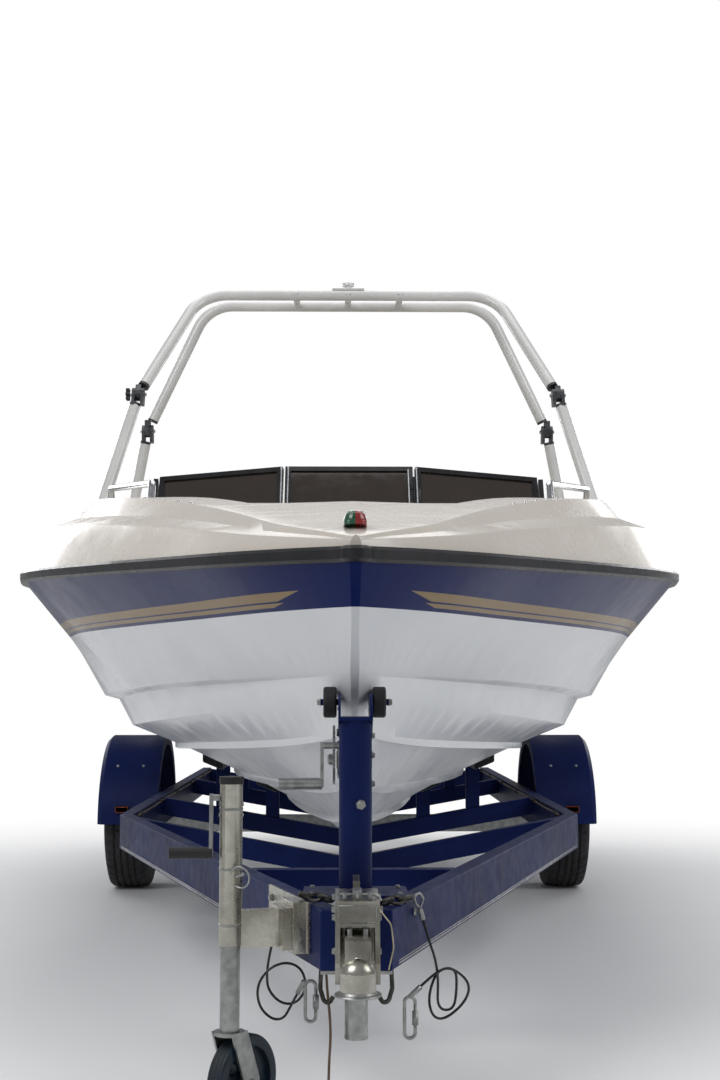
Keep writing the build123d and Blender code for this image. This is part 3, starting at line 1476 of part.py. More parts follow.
QUICK_LINKS = ((121, -11, 267), (-102, 48, 291))
CABLE_PINS = (((133, 0, 452), (147, 0, 452)), ((-166.4, 80, 452), (-177, 80, 452)))


def cord(points, radius):
    """Cord through points, with an arc in each corner as wide as its runs allow."""
    places = [Vector(x, at(aft), z) for x, aft, z in points]
    radii = []
    for before, corner, after in zip(places, places[1:], places[2:]):
        a, b = corner - before, after - corner
        turn = math.radians(max(a.get_angle(b), 0.5))
        radii.append(0.45 * min(a.length, b.length) / math.tan(turn / 2))
    with BuildLine() as path:
        FilletPolyline(*places, radius=radii)
    with BuildSketch(Plane(origin=places[0], z_dir=places[1] - places[0])) as ring:
        Circle(radius)
    sweep(ring.sketch, path=path.line)
    length = sum(edge.length for edge in path.edges())
    print("cord", round(length), "long, radii", [round(r) for r in radii])


def racetrack(plane, length, width, bar):
    """Closed link of round bar, drawn in a plane with its length along Y."""
    with BuildLine(plane) as path:
        a = Line((width, -length / 2), (width, length / 2))
        b = ThreePointArc(a @ 1, (0, length / 2 + width), (-width, length / 2))
        c = Line(b @ 1, (-width, -length / 2))
        ThreePointArc(c @ 1, (0, -length / 2 - width), a @ 0)
    with BuildSketch(Plane(origin=path.line @ 0, z_dir=path.line % 0)) as ring:
        Circle(bar)
    sweep(ring.sketch, path=path.line)


def ferrule(start, end, radius=FERRULE):
    """Round sleeve between two points."""
    start, end = [Vector(x, at(aft), z) for x, aft, z in (start, end)]
    with BuildSketch(Plane(origin=start, z_dir=end - start)) as ring:
        Circle(radius)
    extrude(ring.sketch, amount=(end - start).length)


with BuildPart() as safety_links:
    for side, seat in LINK_SEATS:
        near, far = [Vector(side * x, at(aft), seat + LINK_BAR + SEAT_GAP) for x, aft in LINK_ENDS]
        plane = Plane(origin=(near + far) / 2, x_dir=(far - near).cross(Vector(0, 0, 1)), z_dir=(0, 0, 1))
        racetrack(plane, (far - near).length, LINK_WIDTH, LINK_BAR)

with BuildPart() as port_safety_cable:
    cord(PORT_CABLE, CABLE)

with BuildPart() as starboard_safety_cable:
    cord(STARBOARD_CABLE, CABLE)

with BuildPart() as cable_fittings:
    for route in (PORT_CABLE, STARBOARD_CABLE):
        top, bottom = Vector(*route[0]), Vector(*route[1])
        lift = (top - bottom).normalized()
        ferrule(tuple(top + lift * 26), tuple(top + lift * SEAT_GAP))
        last, end = Vector(*route[-2]), Vector(*route[-1])
        run = (end - last).normalized()
        ferrule(tuple(end + run * SEAT_GAP), tuple(end + run * 34))
    for start, end in CABLE_PINS:
        ferrule(start, end, QUICK_BAR)
    for x, aft, z in QUICK_LINKS:
        middle = z - QUICK_WIDTH - QUICK_LENGTH / 2
        racetrack(Plane(origin=(x, at(aft), middle), x_dir=(1, 0, 0), z_dir=(0, -1, 0)), QUICK_LENGTH,
                  QUICK_WIDTH, QUICK_BAR)
        ferrule((x + QUICK_WIDTH, aft, middle - 16), (x + QUICK_WIDTH, aft, middle + 14), QUICK_BAR + 3)

with BuildPart() as wiring_lead:
    cord(LEAD_RUN, LEAD)
    end_x, end_aft, end_z = LEAD_RUN[-1]
    block(end_x, end_aft - PLUG[1] / 2, end_z - SEAT_GAP - PLUG[2], *PLUG)

save(safety_links, "safety_links")
save(port_safety_cable, "port_safety_cable")
save(starboard_safety_cable, "starboard_safety_cable")
save(cable_fittings, "cable_fittings")
save(wiring_lead, "wiring_lead")
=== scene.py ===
"""Looks of the open-bow speedboat on its trailer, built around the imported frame."""
import json
import math

import bmesh
import bpy
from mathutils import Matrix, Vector
from mathutils.bvhtree import BVHTree


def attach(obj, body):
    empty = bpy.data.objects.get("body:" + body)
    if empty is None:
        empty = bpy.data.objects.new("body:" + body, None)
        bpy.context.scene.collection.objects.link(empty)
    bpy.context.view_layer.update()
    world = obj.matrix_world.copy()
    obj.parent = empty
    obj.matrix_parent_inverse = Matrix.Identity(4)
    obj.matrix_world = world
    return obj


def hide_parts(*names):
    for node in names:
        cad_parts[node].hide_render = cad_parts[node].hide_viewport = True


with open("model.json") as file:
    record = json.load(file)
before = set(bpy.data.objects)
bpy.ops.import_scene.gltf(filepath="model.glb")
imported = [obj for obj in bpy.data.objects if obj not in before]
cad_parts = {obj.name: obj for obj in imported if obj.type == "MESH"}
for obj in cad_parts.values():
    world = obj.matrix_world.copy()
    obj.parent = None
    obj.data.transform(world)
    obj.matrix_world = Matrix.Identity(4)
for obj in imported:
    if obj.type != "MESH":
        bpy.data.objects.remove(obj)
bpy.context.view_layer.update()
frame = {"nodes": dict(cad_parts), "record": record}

bl_info = {
    "name": "Speedboat on its trailer",
    "version": (1, 0, 0),
    "blender": (4, 5, 0),
    "location": "View3D > Sidebar > Boat",
    "description": "Finishes and detail of the speedboat and its trailer",
    "category": "Object",
}

ROOT = "boat_and_trailer"
SIDES = (1, -1)
WELD = 1e-5
# the road wheels' hubs, millimetres: off the middle, aft, above the floor
HUB_X, HUB_AFT, HUB_UP = 1045, 4000, 330


def linear(code):
    """Linear colour of an sRGB hex code."""
    parts = [int(code[i:i + 2], 16) / 255 for i in (0, 2, 4)]
    return tuple(c / 12.92 if c <= 0.04045 else ((c + 0.055) / 1.055) ** 2.4 for c in parts) + (1.0,)


def node_at(name):
    """The body that carries a node of the frame."""
    return next(body for body, nodes in frame["record"]["behaviour"]["bodies"].items() if name in nodes)


# materials
def add_node(tree, kind, inputs=None, **settings):
    """Adds a shader or geometry node with its settings, constants and links."""
    node = tree.nodes.new(kind)
    for key, value in settings.items():
        setattr(node, key, value)
    for key, value in (inputs or {}).items():
        if isinstance(value, bpy.types.NodeSocket):
            tree.links.new(value, node.inputs[key])
        else:
            node.inputs[key].default_value = value
    return node


def add_math(tree, operation, a, b=0.0, c=0.0):
    return add_node(tree, "ShaderNodeMath", {0: a, 1: b, 2: c}, operation=operation).outputs[0]


def add_ramp(tree, value, low, high, to_low, to_high):
    return add_node(
        tree, "ShaderNodeMapRange",
        {"Value": value, "From Min": low, "From Max": high, "To Min": to_low, "To Max": to_high},
    ).outputs["Result"]


def add_mix(tree, factor, a, b):
    node = add_node(tree, "ShaderNodeMix", {"Factor": factor}, data_type="RGBA")
    for socket, value in ((node.inputs[6], a), (node.inputs[7], b)):
        if isinstance(value, bpy.types.NodeSocket):
            tree.links.new(value, socket)
        else:
            socket.default_value = value
    return node.outputs[2]


def add_bump(tree, height, depth_m):
    return add_node(tree, "ShaderNodeBump", {"Height": height, "Distance": depth_m}).outputs[0]


def add_surface(tree, **inputs):
    """The principled shader and the output; a space in an input's name is written as _."""
    shader = add_node(
        tree, "ShaderNodeBsdfPrincipled", {key.replace("_", " "): value for key, value in inputs.items()})
    add_node(tree, "ShaderNodeOutputMaterial", {"Surface": shader.outputs[0]})
    return shader


def new_material(name):
    material = bpy.data.materials.new(name)
    material.use_nodes = True
    tree = material.node_tree
    tree.nodes.clear()
    place = add_node(tree, "ShaderNodeTexCoord").outputs["Object"]
    return material, tree, place


def add_noise(tree, place, size_mm, detail=3.0, stretch=None):
    if stretch:
        place = add_node(tree, "ShaderNodeMapping", {"Vector": place, "Scale": stretch}).outputs[0]
    return add_node(
        tree, "ShaderNodeTexNoise", {"Vector": place, "Scale": 1000 / size_mm, "Detail": detail}
    ).outputs[0]


def add_cells(tree, place, size_mm, feature="F1", output="Distance"):
    return add_node(
        tree, "ShaderNodeTexVoronoi", {"Vector": place, "Scale": 1000 / size_mm}, feature=feature
    ).outputs[output]


# relief patterns: each gives a height from 0 to 1
def relief(tree, place, pattern, size_mm):
    if pattern == "leather":
        cells = add_cells(tree, place, size_mm, "DISTANCE_TO_EDGE")
        return add_ramp(tree, cells, 0.0, 0.12, 0.0, 1.0)
    if pattern == "weave":
        warp, weft = (
            add_node(tree, "ShaderNodeTexWave", {"Vector": place, "Scale": 1000 / size_mm / 6.28},
                     bands_direction=way).outputs[1]
            for way in "XY"
        )
        return add_math(tree, "MULTIPLY", warp, weft)
    if pattern == "brushed":
        return add_noise(tree, place, size_mm, 2.0, (1.0, 1.0, 14.0))
    if pattern == "spangle":
        return add_cells(tree, place, size_mm)
    return add_noise(tree, place, size_mm, 4.0)


# name: colour, second colour, patch mm, roughness low, high, metallic, coat, pattern, pattern mm, depth mm
FINISHES = {
    "deck_gelcoat": ("dad2c8", "d7cfc4", 420, 0.26, 0.29, 0.0, 0.2, "peel", 9, 0.03),
    "liner_gelcoat": ("d7cfc5", "d3cbc0", 300, 0.34, 0.38, 0.0, 0.3, "leather", 7, 0.18),
    "black_vinyl": ("121214", "1d1d20", 90, 0.30, 0.46, 0.0, 0.2, "peel", 5, 0.08),
    "stainless": ("c9cacb", "aeb0b3", 60, 0.10, 0.26, 1.0, 0.0, "brushed", 2.5, 0.01),
    "dark_frame": ("1b1b1d", "28282b", 80, 0.30, 0.44, 0.6, 0.2, "peel", 3, 0.02),
    "silver_frame": ("a9abae", "8f9296", 60, 0.22, 0.36, 1.0, 0.0, "brushed", 3, 0.01),
    "black_plastic": ("141416", "1f1f22", 40, 0.42, 0.58, 0.0, 0.0, "leather", 1.6, 0.05),
    "marine_vinyl": ("ded7ca", "d2c9b9", 220, 0.40, 0.52, 0.0, 0.1, "leather", 3.2, 0.12),
    "blue_vinyl": ("1d2c62", "172350", 180, 0.38, 0.50, 0.0, 0.1, "leather", 3.2, 0.12),
    "engine_paint": ("2b2d31", "1e2023", 120, 0.38, 0.55, 0.3, 0.1, "cast", 6, 0.25),
    "tower_white": ("dededc", "d2d2d0", 300, 0.20, 0.30, 0.0, 0.6, "peel", 5, 0.02),
    "knuckle_grey": ("5a5b5e", "3f4043", 40, 0.34, 0.50, 0.7, 0.0, "cast", 3, 0.06),
    "drive_black": ("101113", "1c1d20", 140, 0.26, 0.42, 0.2, 0.4, "cast", 8, 0.05),
    "navy_paint": ("142255", "101b47", 260, 0.40, 0.50, 0.0, 0.0, "peel", 4, 0.02),
    "bunk_carpet": ("26272a", "15161a", 12, 0.88, 1.0, 0.0, 0.0, "cast", 2.4, 1.2),
    "zinc": ("b9bab8", "8f918f", 26, 0.28, 0.52, 1.0, 0.0, "spangle", 14, 0.04),
    "yellow_zinc": ("bfbdb2", "a09d92", 60, 0.22, 0.38, 1.0, 0.0, "peel", 6, 0.008),
    "dull_steel": ("5d5c5a", "3f3d3b", 24, 0.35, 0.60, 0.9, 0.0, "cast", 4, 0.08),
    "cream_wire": ("cfc4a8", "b3a88c", 40, 0.45, 0.6, 0.0, 0.0, "peel", 4, 0.02),
    "roller_rubber": ("151518", "232327", 30, 0.55, 0.75, 0.0, 0.0, "cast", 3, 0.12),
    "strap_webbing": ("1b1c20", "2c2d33", 20, 0.75, 0.92, 0.0, 0.0, "weave", 2.4, 0.35),
    "tyre_rubber": ("17171a", "232326", 160, 0.58, 0.78, 0.0, 0.0, "cast", 2.2, 0.12),
    "wheel_paint": ("c3c6c9", "a9adb2", 90, 0.26, 0.38, 0.7, 0.2, "peel", 3, 0.02),
    "caster_plastic": ("0e1d2b", "142a3a", 40, 0.40, 0.56, 0.0, 0.0, "cast", 3, 0.05),
    "cable_vinyl": ("0c0c0e", "161618", 40, 0.24, 0.36, 0.0, 0.2, "peel", 4, 0.03),
    "lead_jacket": ("5a4632", "6b5a47", 60, 0.42, 0.56, 0.0, 0.0, "peel", 4, 0.03),
    "gold_stripe": ("968264", "7f6c50", 60, 0.24, 0.34, 0.6, 0.4, "peel", 3, 0.01),
    "sole_carpet": ("8d8577", "6f685c", 14, 0.90, 1.0, 0.0, 0.0, "cast", 2.6, 1.4),
}
materials = {}


def plain_finish(name):
    """A surface with patchy colour and gloss, and a relief at its real scale."""
    first, second, patch, low, high, metallic, coat, pattern, size, depth = FINISHES[name]
    material, tree, place = new_material(name)
    patches = add_noise(tree, place, patch)
    height = relief(tree, place, pattern, size)
    grime = add_noise(tree, place, patch / 6, 5.0)
    tone = add_ramp(tree, patches, 0.35, 0.65, 0.0, 1.0)
    if pattern in ("spangle", "weave", "leather"):
        tone = add_math(
            tree, "ADD", add_math(tree, "MULTIPLY", tone, 0.6), add_math(tree, "MULTIPLY", height, 0.4))
    add_surface(
        tree, Base_Color=add_mix(tree, tone, linear(first), linear(second)),
        Roughness=add_ramp(tree, grime, 0.3, 0.7, low, high),
        Metallic=metallic, Coat_Weight=coat, Coat_Roughness=0.08,
        Normal=add_bump(tree, height, depth / 1000),
        Specular_IOR_Level=0.1 if name == "navy_paint" else 0.5,
        Sheen_Weight=0.3 if name in ("bunk_carpet", "sole_carpet", "strap_webbing") else 0.0,
    )
    return material


# hull bands, metres: lower edge of the blue, then the gold lines as (foot, head, start of the wedge)
BAND_EDGE = 1.145
GOLD_LINES = ((1.154, 1.164, 0.175), (1.168, 1.189, 0.136))


def hull_finish():
    """White gelcoat with a blue band and two gold lines, each starting as a wedge."""
    material, tree, place = new_material("hull_gelcoat")
    split = add_node(tree, "ShaderNodeSeparateXYZ", {"Vector": place})
    across, height = add_math(tree, "ABSOLUTE", split.outputs[0]), split.outputs[2]
    patches = add_ramp(tree, add_noise(tree, place, 500), 0.35, 0.65, 0.0, 1.0)
    flakes = add_cells(tree, place, 0.9, output="Color")
    flake = add_node(tree, "ShaderNodeSeparateXYZ", {"Vector": flakes}).outputs[0]
    white = add_mix(tree, patches, linear("e9ebee"), linear("dfe2e6"))
    blue = add_mix(tree, add_math(tree, "MULTIPLY", flake, 0.5), linear("101d52"), linear("182a68"))
    band = add_math(tree, "GREATER_THAN", height, BAND_EDGE)
    colour = add_mix(tree, band, white, blue)
    for foot, head, start in GOLD_LINES:
        rise = add_math(tree, "SUBTRACT", height, foot)
        inside = add_math(tree, "MULTIPLY", add_math(tree, "GREATER_THAN", height, foot),
                          add_math(tree, "LESS_THAN", height, head))
        wedge = add_math(tree, "SUBTRACT", head - foot, rise)
        begun = add_math(tree, "GREATER_THAN", across,
                         add_math(tree, "ADD", add_math(tree, "MULTIPLY", wedge, 2.6), start))
        colour = add_mix(tree, add_math(tree, "MULTIPLY", inside, begun), colour, linear("968264"))
    scuffs = add_ramp(tree, add_noise(tree, place, 70, 6.0), 0.35, 0.7, 0.05, 0.14)
    add_surface(
        tree, Base_Color=colour, Roughness=add_math(tree, "ADD", scuffs, 0.12),
        Specular_IOR_Level=add_ramp(tree, band, 0.0, 1.0, 0.5, 0.14),
        Normal=add_bump(tree, add_noise(tree, place, 11), 0.00003),
    )
    return material


def glass_finish(name, tint, rough, clear):
    """Tinted acrylic or lens: clear share, tint and faint smears."""
    material, tree, place = new_material(name)
    smears = add_ramp(tree, add_noise(tree, place, 45, 5.0), 0.35, 0.7, rough, rough + 0.08)
    add_surface(
        tree, Base_Color=add_mix(tree, add_noise(tree, place, 200), linear(tint[0]), linear(tint[1])),
        Roughness=smears, Transmission_Weight=clear, IOR=1.49, Coat_Weight=0.6,
    )
    return material


def lens_finish():
    """Bow light lens: red to port, green to starboard."""
    material, tree, place = new_material("bow_lens")
    side = add_node(tree, "ShaderNodeSeparateXYZ", {"Vector": place}).outputs[0]
    ribs = add_node(tree, "ShaderNodeTexWave", {"Vector": place, "Scale": 60.0}, bands_direction="Z").outputs[1]
    colour = add_mix(tree, add_math(tree, "GREATER_THAN", side, 0.0), linear("0c5a3a"), linear("a31212"))
    add_surface(
        tree, Base_Color=colour, Roughness=0.08, Transmission_Weight=0.25, Coat_Weight=1.0,
        Normal=add_bump(tree, ribs, 0.0006),
    )
    return material


def make_materials():
    for name in FINISHES:
        materials[name] = plain_finish(name)
    materials["hull_gelcoat"] = hull_finish()
    for name, tint, rough, clear in (
        ("smoked_glass", ("2a211b", "3a2f27"), 0.03, 0.55), ("amber_lens", ("e0761a", "c95f10"), 0.10, 0.25),
        ("red_lens", ("b01812", "8c100c"), 0.10, 0.25),
    ):
        materials[name] = glass_finish(name, tint, rough, clear)
    materials["bow_lens"] = lens_finish()


# slots of the record that are shown with a material of another name
SHOWN_AS = {"white_gelcoat": "hull_gelcoat", "lamp_lens": "amber_lens"}


def node_material(name):
    slot = next(p["material_slot"] for p in frame["record"]["subparts"] if p["node"] == name)
    return slot, materials[SHOWN_AS.get(slot, slot)]


# pieces
def linked(name, data):
    """A new object of the scene with a mesh, curve, lamp or camera."""
    piece = bpy.data.objects.new(name, data)
    bpy.context.scene.collection.objects.link(piece)
    return piece


def as_mesh(piece):
    """The mesh of an object with its modifiers, or its curve's thickness, worked out."""
    bpy.context.view_layer.update()
    return bpy.data.meshes.new_from_object(piece.evaluated_get(bpy.context.evaluated_depsgraph_get()))


def smoothed(mesh, angle):
    """Smooth shading that breaks at edges sharper than an angle in degrees."""
    mesh.shade_smooth()
    mesh.set_sharp_from_angle(angle=math.radians(angle))


def node_bmesh(node, weld=True):
    """A copy of a node's mesh, with its doubled corners welded."""
    bm = bmesh.new()
    bm.from_mesh(frame["nodes"][node].data)
    if weld:
        bmesh.ops.remove_doubles(bm, verts=bm.verts, dist=WELD)
    return bm


def settle(piece, material, body, replaced=()):
    """Gives a finished mesh its material and body, and hides the nodes it stands for."""
    if material is not None:
        piece.data.materials.clear()
        piece.data.materials.append(materials[material])
    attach(piece, body)
    if replaced:
        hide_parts(*replaced)
    return piece


def new_piece(name, bm, smooth_angle=35):
    """An object from a bmesh, with outward normals and smooth shading below an angle."""
    bmesh.ops.recalc_face_normals(bm, faces=bm.faces)
    mesh = bpy.data.meshes.new(name)
    bm.to_mesh(mesh)
    bm.free()
    smoothed(mesh, smooth_angle)
    return linked(name, mesh)


def applied(piece):
    """The same object with its modifiers made into mesh."""
    mesh = as_mesh(piece)
    piece.modifiers.clear()
    piece.data = mesh
    return piece


def polished(node, bevel_mm, angle=28):
    """A copy of a node with its sharp edges rounded, standing for that node."""
    bm = node_bmesh(node)
    bmesh.ops.dissolve_limit(bm, angle_limit=math.radians(0.2), verts=bm.verts, edges=bm.edges)
    piece = new_piece(f"{node}_shape", bm, angle)
    if bevel_mm:
        bevel = piece.modifiers.new("rounding", "BEVEL")
        bevel.width = bevel_mm / 1000
        bevel.segments = 2
        bevel.limit_method = "ANGLE"
        bevel.angle_limit = math.radians(angle)
        bevel.harden_normals = True
        bevel.use_clamp_overlap = True
        applied(piece)
    slot, material = node_material(node)
    piece.data.materials.clear()
    piece.data.materials.append(material)
    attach(piece, node_at(node))
    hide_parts(node)
    return piece


def loose_parts(node):
    """The separate closed shells of a node, as bmeshes."""
    bm = node_bmesh(node)
    left, parts = set(bm.verts), []
    while left:
        stack = [left.pop()]
        shell = set(stack)
        while stack:
            for edge in stack.pop().link_edges:
                for v in edge.verts:
                    if v in left:
                        left.discard(v)
                        shell.add(v)
                        stack.append(v)
        part = bm.copy()
        part.verts.ensure_lookup_table()
        keep = {v.index for v in shell}
        bmesh.ops.delete(part, geom=[v for v in part.verts if v.index not in keep], context="VERTS")
        parts.append(part)
    bm.free()
    return parts


def repaint(piece, material, test):
    """Gives the faces whose middle passes a test another material."""
    piece.data.materials.append(materials[material])
    index = len(piece.data.materials) - 1
    for face in piece.data.polygons:
        if test(face.center):
            face.material_index = index


def tube_piece(name, points, radius, closed=False, sides=4, bend=0.0):
    """A round bar along points, with rounded corners where bend is given."""
    curve = bpy.data.curves.new(name, "CURVE")
    curve.dimensions = "3D"
    curve.bevel_depth = radius
    curve.bevel_resolution = sides
    curve.use_fill_caps = not closed
    line = curve.splines.new("POLY")
    path = rounded_path(points, bend) if bend else [Vector(p) for p in points]
    line.points.add(len(path) - 1)
    for point, place in zip(line.points, path):
        point.co = (*place, 1)
    line.use_cyclic_u = closed
    piece = linked(name, curve)
    mesh = as_mesh(piece)
    bpy.data.objects.remove(piece)
    smoothed(mesh, 40)
    return linked(name, mesh)


def rounded_path(points, bend, steps=8):
    """Points of a path whose corners are turned into arcs of one radius."""
    points = [Vector(p) for p in points]
    path = [points[0]]
    for before, corner, after in zip(points, points[1:], points[2:]):
        a, b = (before - corner).normalized(), (after - corner).normalized()
        half = a.angle(b) / 2
        reach = min(bend / math.tan(half), (before - corner).length * 0.49, (after - corner).length * 0.49)
        start, end = corner + a * reach, corner + b * reach
        middle = corner + (a + b).normalized() * (reach / math.cos(half))
        radius = reach * math.tan(half)
        for k in range(steps + 1):
            way = (start - middle).slerp(end - middle, k / steps)
            path.append(middle + way.normalized() * radius)
    return path + [points[-1]]


def join_pieces(name, pieces):
    """One mesh object out of several."""
    bm = bmesh.new()
    for piece in pieces:
        piece.data.transform(piece.matrix_world)
        bm.from_mesh(piece.data)
        bpy.data.objects.remove(piece)
    mesh = bpy.data.meshes.new(name)
    bm.to_mesh(mesh)
    bm.free()
    return linked(name, mesh)


def circle(count, radius=1.0):
    """Pairs of cosine and sine times a radius, evenly round a circle."""
    turns = [2 * math.pi * k / count for k in range(count)]
    return [(radius * math.cos(turn), radius * math.sin(turn)) for turn in turns]


def add_lathe(bm, profile, origin, axis, steps=48):
    """Turns a profile of (radius, height along the axis) about the axis."""
    axis = Vector(axis).normalized()
    across = axis.orthogonal().normalized()
    up = axis.cross(across)
    rings = []
    for cosine, sine in circle(steps):
        way = across * cosine + up * sine
        rings.append([bm.verts.new(Vector(origin) + way * r + axis * h) for r, h in profile])
    for k in range(steps):
        a, b = rings[k], rings[(k + 1) % steps]
        for i in range(len(profile) - 1):
            bm.faces.new((a[i], b[i], b[i + 1], a[i + 1]))
    return bm


def flat_wheel(name, centre, outline, half):
    """A flat wheel across x, from an outline of (y, z) about its centre and half its thickness."""
    bm = bmesh.new()
    front, back = (
        [bm.verts.new(centre + Vector((way * half, y, z))) for y, z in outline] for way in SIDES)
    bm.faces.new(front)
    bm.faces.new(back)
    for k in range(len(front)):
        after = (k + 1) % len(front)
        bm.faces.new((front[k], front[after], back[after], back[k]))
    return new_piece(name, bm)


def add_box(bm, low, high, bevel=0.0):
    """A box between two corners, with rounded edges."""
    low, high = Vector(low), Vector(high)
    made = bmesh.ops.create_cube(bm, size=1)["verts"]
    size, middle = high - low, (low + high) / 2
    for v in made:
        v.co = Vector((v.co.x * size.x, v.co.y * size.y, v.co.z * size.z))
    if bevel:
        edges = list({e for v in made for e in v.link_edges})
        rounded = bmesh.ops.bevel(bm, geom=edges, offset=bevel, segments=2, affect="EDGES", profile=0.5)
        made = list({v for f in rounded["faces"] for v in f.verts} | {v for v in made if v.is_valid})
    for v in made:
        v.co += middle


# small fasteners of unit radius, standing on z = 0
STUDS = {
    "hex": [(0, 0.95), (0.72, 0.95), (0.86, 0.86), (0.86, 0.22), (1.18, 0.2), (1.18, 0)],
    "dome": [(0, 0.55), (0.5, 0.5), (0.85, 0.3), (1.0, 0.0)],
    "snap": [(0, 0.62), (0.4, 0.6), (0.62, 0.45), (0.66, 0.2), (1.0, 0.14), (1.05, 0)],
    "nut": [
        (0.34, 1.25), (0.45, 1.2), (0.45, 0.85), (0.72, 0.85), (0.86, 0.76), (0.86, 0.2), (1.2, 0.18), (1.2, 0),
    ],
}
STUD_SIDES = {"hex": 6, "nut": 6, "dome": 14, "snap": 16}


def repeat_group(material):
    """Geometry nodes that set an object on every point, along the point's own direction."""
    group = bpy.data.node_groups.new("repeat_studs", "GeometryNodeTree")
    group.interface.new_socket("Geometry", in_out="INPUT", socket_type="NodeSocketGeometry")
    stud = group.interface.new_socket("Stud", in_out="INPUT", socket_type="NodeSocketObject")
    group.interface.new_socket("Geometry", in_out="OUTPUT", socket_type="NodeSocketGeometry")
    start = group.nodes.new("NodeGroupInput")
    way = add_node(group, "GeometryNodeInputNamedAttribute", {"Name": "way"}, data_type="FLOAT_VECTOR")
    size = add_node(group, "GeometryNodeInputNamedAttribute", {"Name": "size"}, data_type="FLOAT")
    turn = add_node(
        group, "FunctionNodeAlignRotationToVector", {"Vector": way.outputs["Attribute"]}, axis="Z")
    shape = add_node(group, "GeometryNodeObjectInfo", {"Object": start.outputs["Stud"]})
    points = add_node(group, "GeometryNodeMeshToPoints", {"Mesh": start.outputs["Geometry"]})
    placed = add_node(group, "GeometryNodeInstanceOnPoints", {
        "Points": points.outputs[0], "Instance": shape.outputs["Geometry"],
        "Rotation": turn.outputs[0], "Scale": size.outputs["Attribute"],
    })
    real = add_node(group, "GeometryNodeRealizeInstances", {"Geometry": placed.outputs[0]})
    painted = add_node(
        group, "GeometryNodeSetMaterial", {"Geometry": real.outputs[0], "Material": material})
    add_node(group, "NodeGroupOutput", {"Geometry": painted.outputs[0]})
    return group, stud.identifier


def repeated(name, kind, spots, material, body):
    """Studs at (place, direction, size) spots, made with geometry nodes and then plain mesh."""
    bm = add_lathe(bmesh.new(), STUDS[kind], (0, 0, 0), (0, 0, 1), STUD_SIDES[kind])
    bmesh.ops.remove_doubles(bm, verts=bm.verts, dist=1e-6)
    stud = new_piece("stud", bm)
    mesh = bpy.data.meshes.new(name)
    mesh.from_pydata([tuple(place) for place, _, _ in spots], [], [])
    mesh.attributes.new("way", "FLOAT_VECTOR", "POINT")
    mesh.attributes.new("size", "FLOAT", "POINT")
    ways, sizes = mesh.attributes["way"], mesh.attributes["size"]
    for k, (_, way, size) in enumerate(spots):
        ways.data[k].vector = Vector(way).normalized()
        sizes.data[k].value = size
    piece = linked(name, mesh)
    modifier = piece.modifiers.new("repeat", "NODES")
    modifier.node_group, identifier = repeat_group(materials[material])
    modifier[identifier] = stud
    piece.update_tag()
    applied(piece)
    piece.data.set_sharp_from_angle(angle=math.radians(35))
    bpy.data.objects.remove(stud)
    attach(piece, body)
    return piece


def spot(x, aft, z):
    """Millimetres across, aft of the bow's tip and above the floor, as a place in metres."""
    return Vector((x / 1000, aft / 1000 - 3.1, z / 1000))


def strip(name, runs, radius_mm, material, body, closed=False, bend_mm=0):
    """Round bars along lists of (x, aft, z) points, as one piece."""
    made = [
        tube_piece(name, [spot(*p) for p in points], radius_mm / 1000, closed, bend=bend_mm / 1000)
        for points in runs
    ]
    piece = join_pieces(name, made)
    smoothed(piece.data, 40)
    return settle(piece, material, body)


def blocks(name, rows, material, body, bevel_mm=1.0):
    """Rounded blocks between (x, aft, z) corners, as one piece."""
    bm = bmesh.new()
    for low, high in rows:
        low, high = spot(*low), spot(*high)
        low, high = [Vector(f(a, b) for a, b in zip(low, high)) for f in (min, max)]
        add_box(bm, low, high, bevel_mm / 1000)
    return settle(new_piece(name, bm), material, body)


def turned(name, rows, material, body, steps=40):
    """Turned shapes: (profile of (radius, height) in mm, (x, aft, z) origin, axis), as one piece."""
    bm = bmesh.new()
    for profile, origin, axis in rows:
        add_lathe(bm, [(r / 1000, h / 1000) for r, h in profile], spot(*origin), axis, steps)
    bmesh.ops.remove_doubles(bm, verts=bm.verts, dist=1e-6)
    return settle(new_piece(name, bm), material, body)


def dropped(node, places, height):
    """Place and normal where each (x, aft), dropped from a height in mm, meets a node; None if it misses."""
    bm = node_bmesh(node, False)
    tree = BVHTree.FromBMesh(bm)
    bm.free()
    return [tree.ray_cast(spot(x, a, height), Vector((0, 0, -1)))[:2] for x, a in places]


# cords
# routes of the cords, metres
PORT_CABLE = [
    (0.152, -3.1, 0.434), (0.164, -3.1, 0.392), (0.18, -3.1, 0.346), (0.186, -3.098, 0.299),
    (0.183, -3.094, 0.236), (0.222, -3.086, 0.232), (0.229, -3.082, 0.285), (0.226, -3.082, 0.326),
    (0.184, -3.086, 0.322), (0.162, -3.1, 0.265), (0.171, -3.109, 0.222), (0.202, -3.091, 0.213),
    (0.249, -3.088, 0.252), (0.259, -3.09, 0.293), (0.218, -3.096, 0.329), (0.183, -3.108, 0.324),
    (0.146, -3.11, 0.29),
]
STARBOARD_CABLE = [
    (-0.181, -3.02, 0.434), (-0.188, -3.02, 0.384), (-0.198, -3.02, 0.341), (-0.204, -3.018, 0.299),
    (-0.2, -3.01, 0.261), (-0.17, -3.002, 0.23), (-0.134, -3.0, 0.231), (-0.111, -3.008, 0.268),
    (-0.123, -3.018, 0.314), (-0.16, -3.026, 0.33), (-0.2, -3.032, 0.315), (-0.226, -3.034, 0.276),
    (-0.22, -3.034, 0.23), (-0.19, -3.032, 0.201), (-0.163, -3.03, 0.203), (-0.147, -3.04, 0.234),
    (-0.132, -3.046, 0.262),
]
WIRING_LEAD = [
    (-0.066, -3.175, 0.3447), (-0.064, -3.176, 0.3), (-0.058, -3.178, 0.25), (-0.055, -3.182, 0.196),
    (-0.059, -3.186, 0.142), (-0.06, -3.188, 0.09),
]


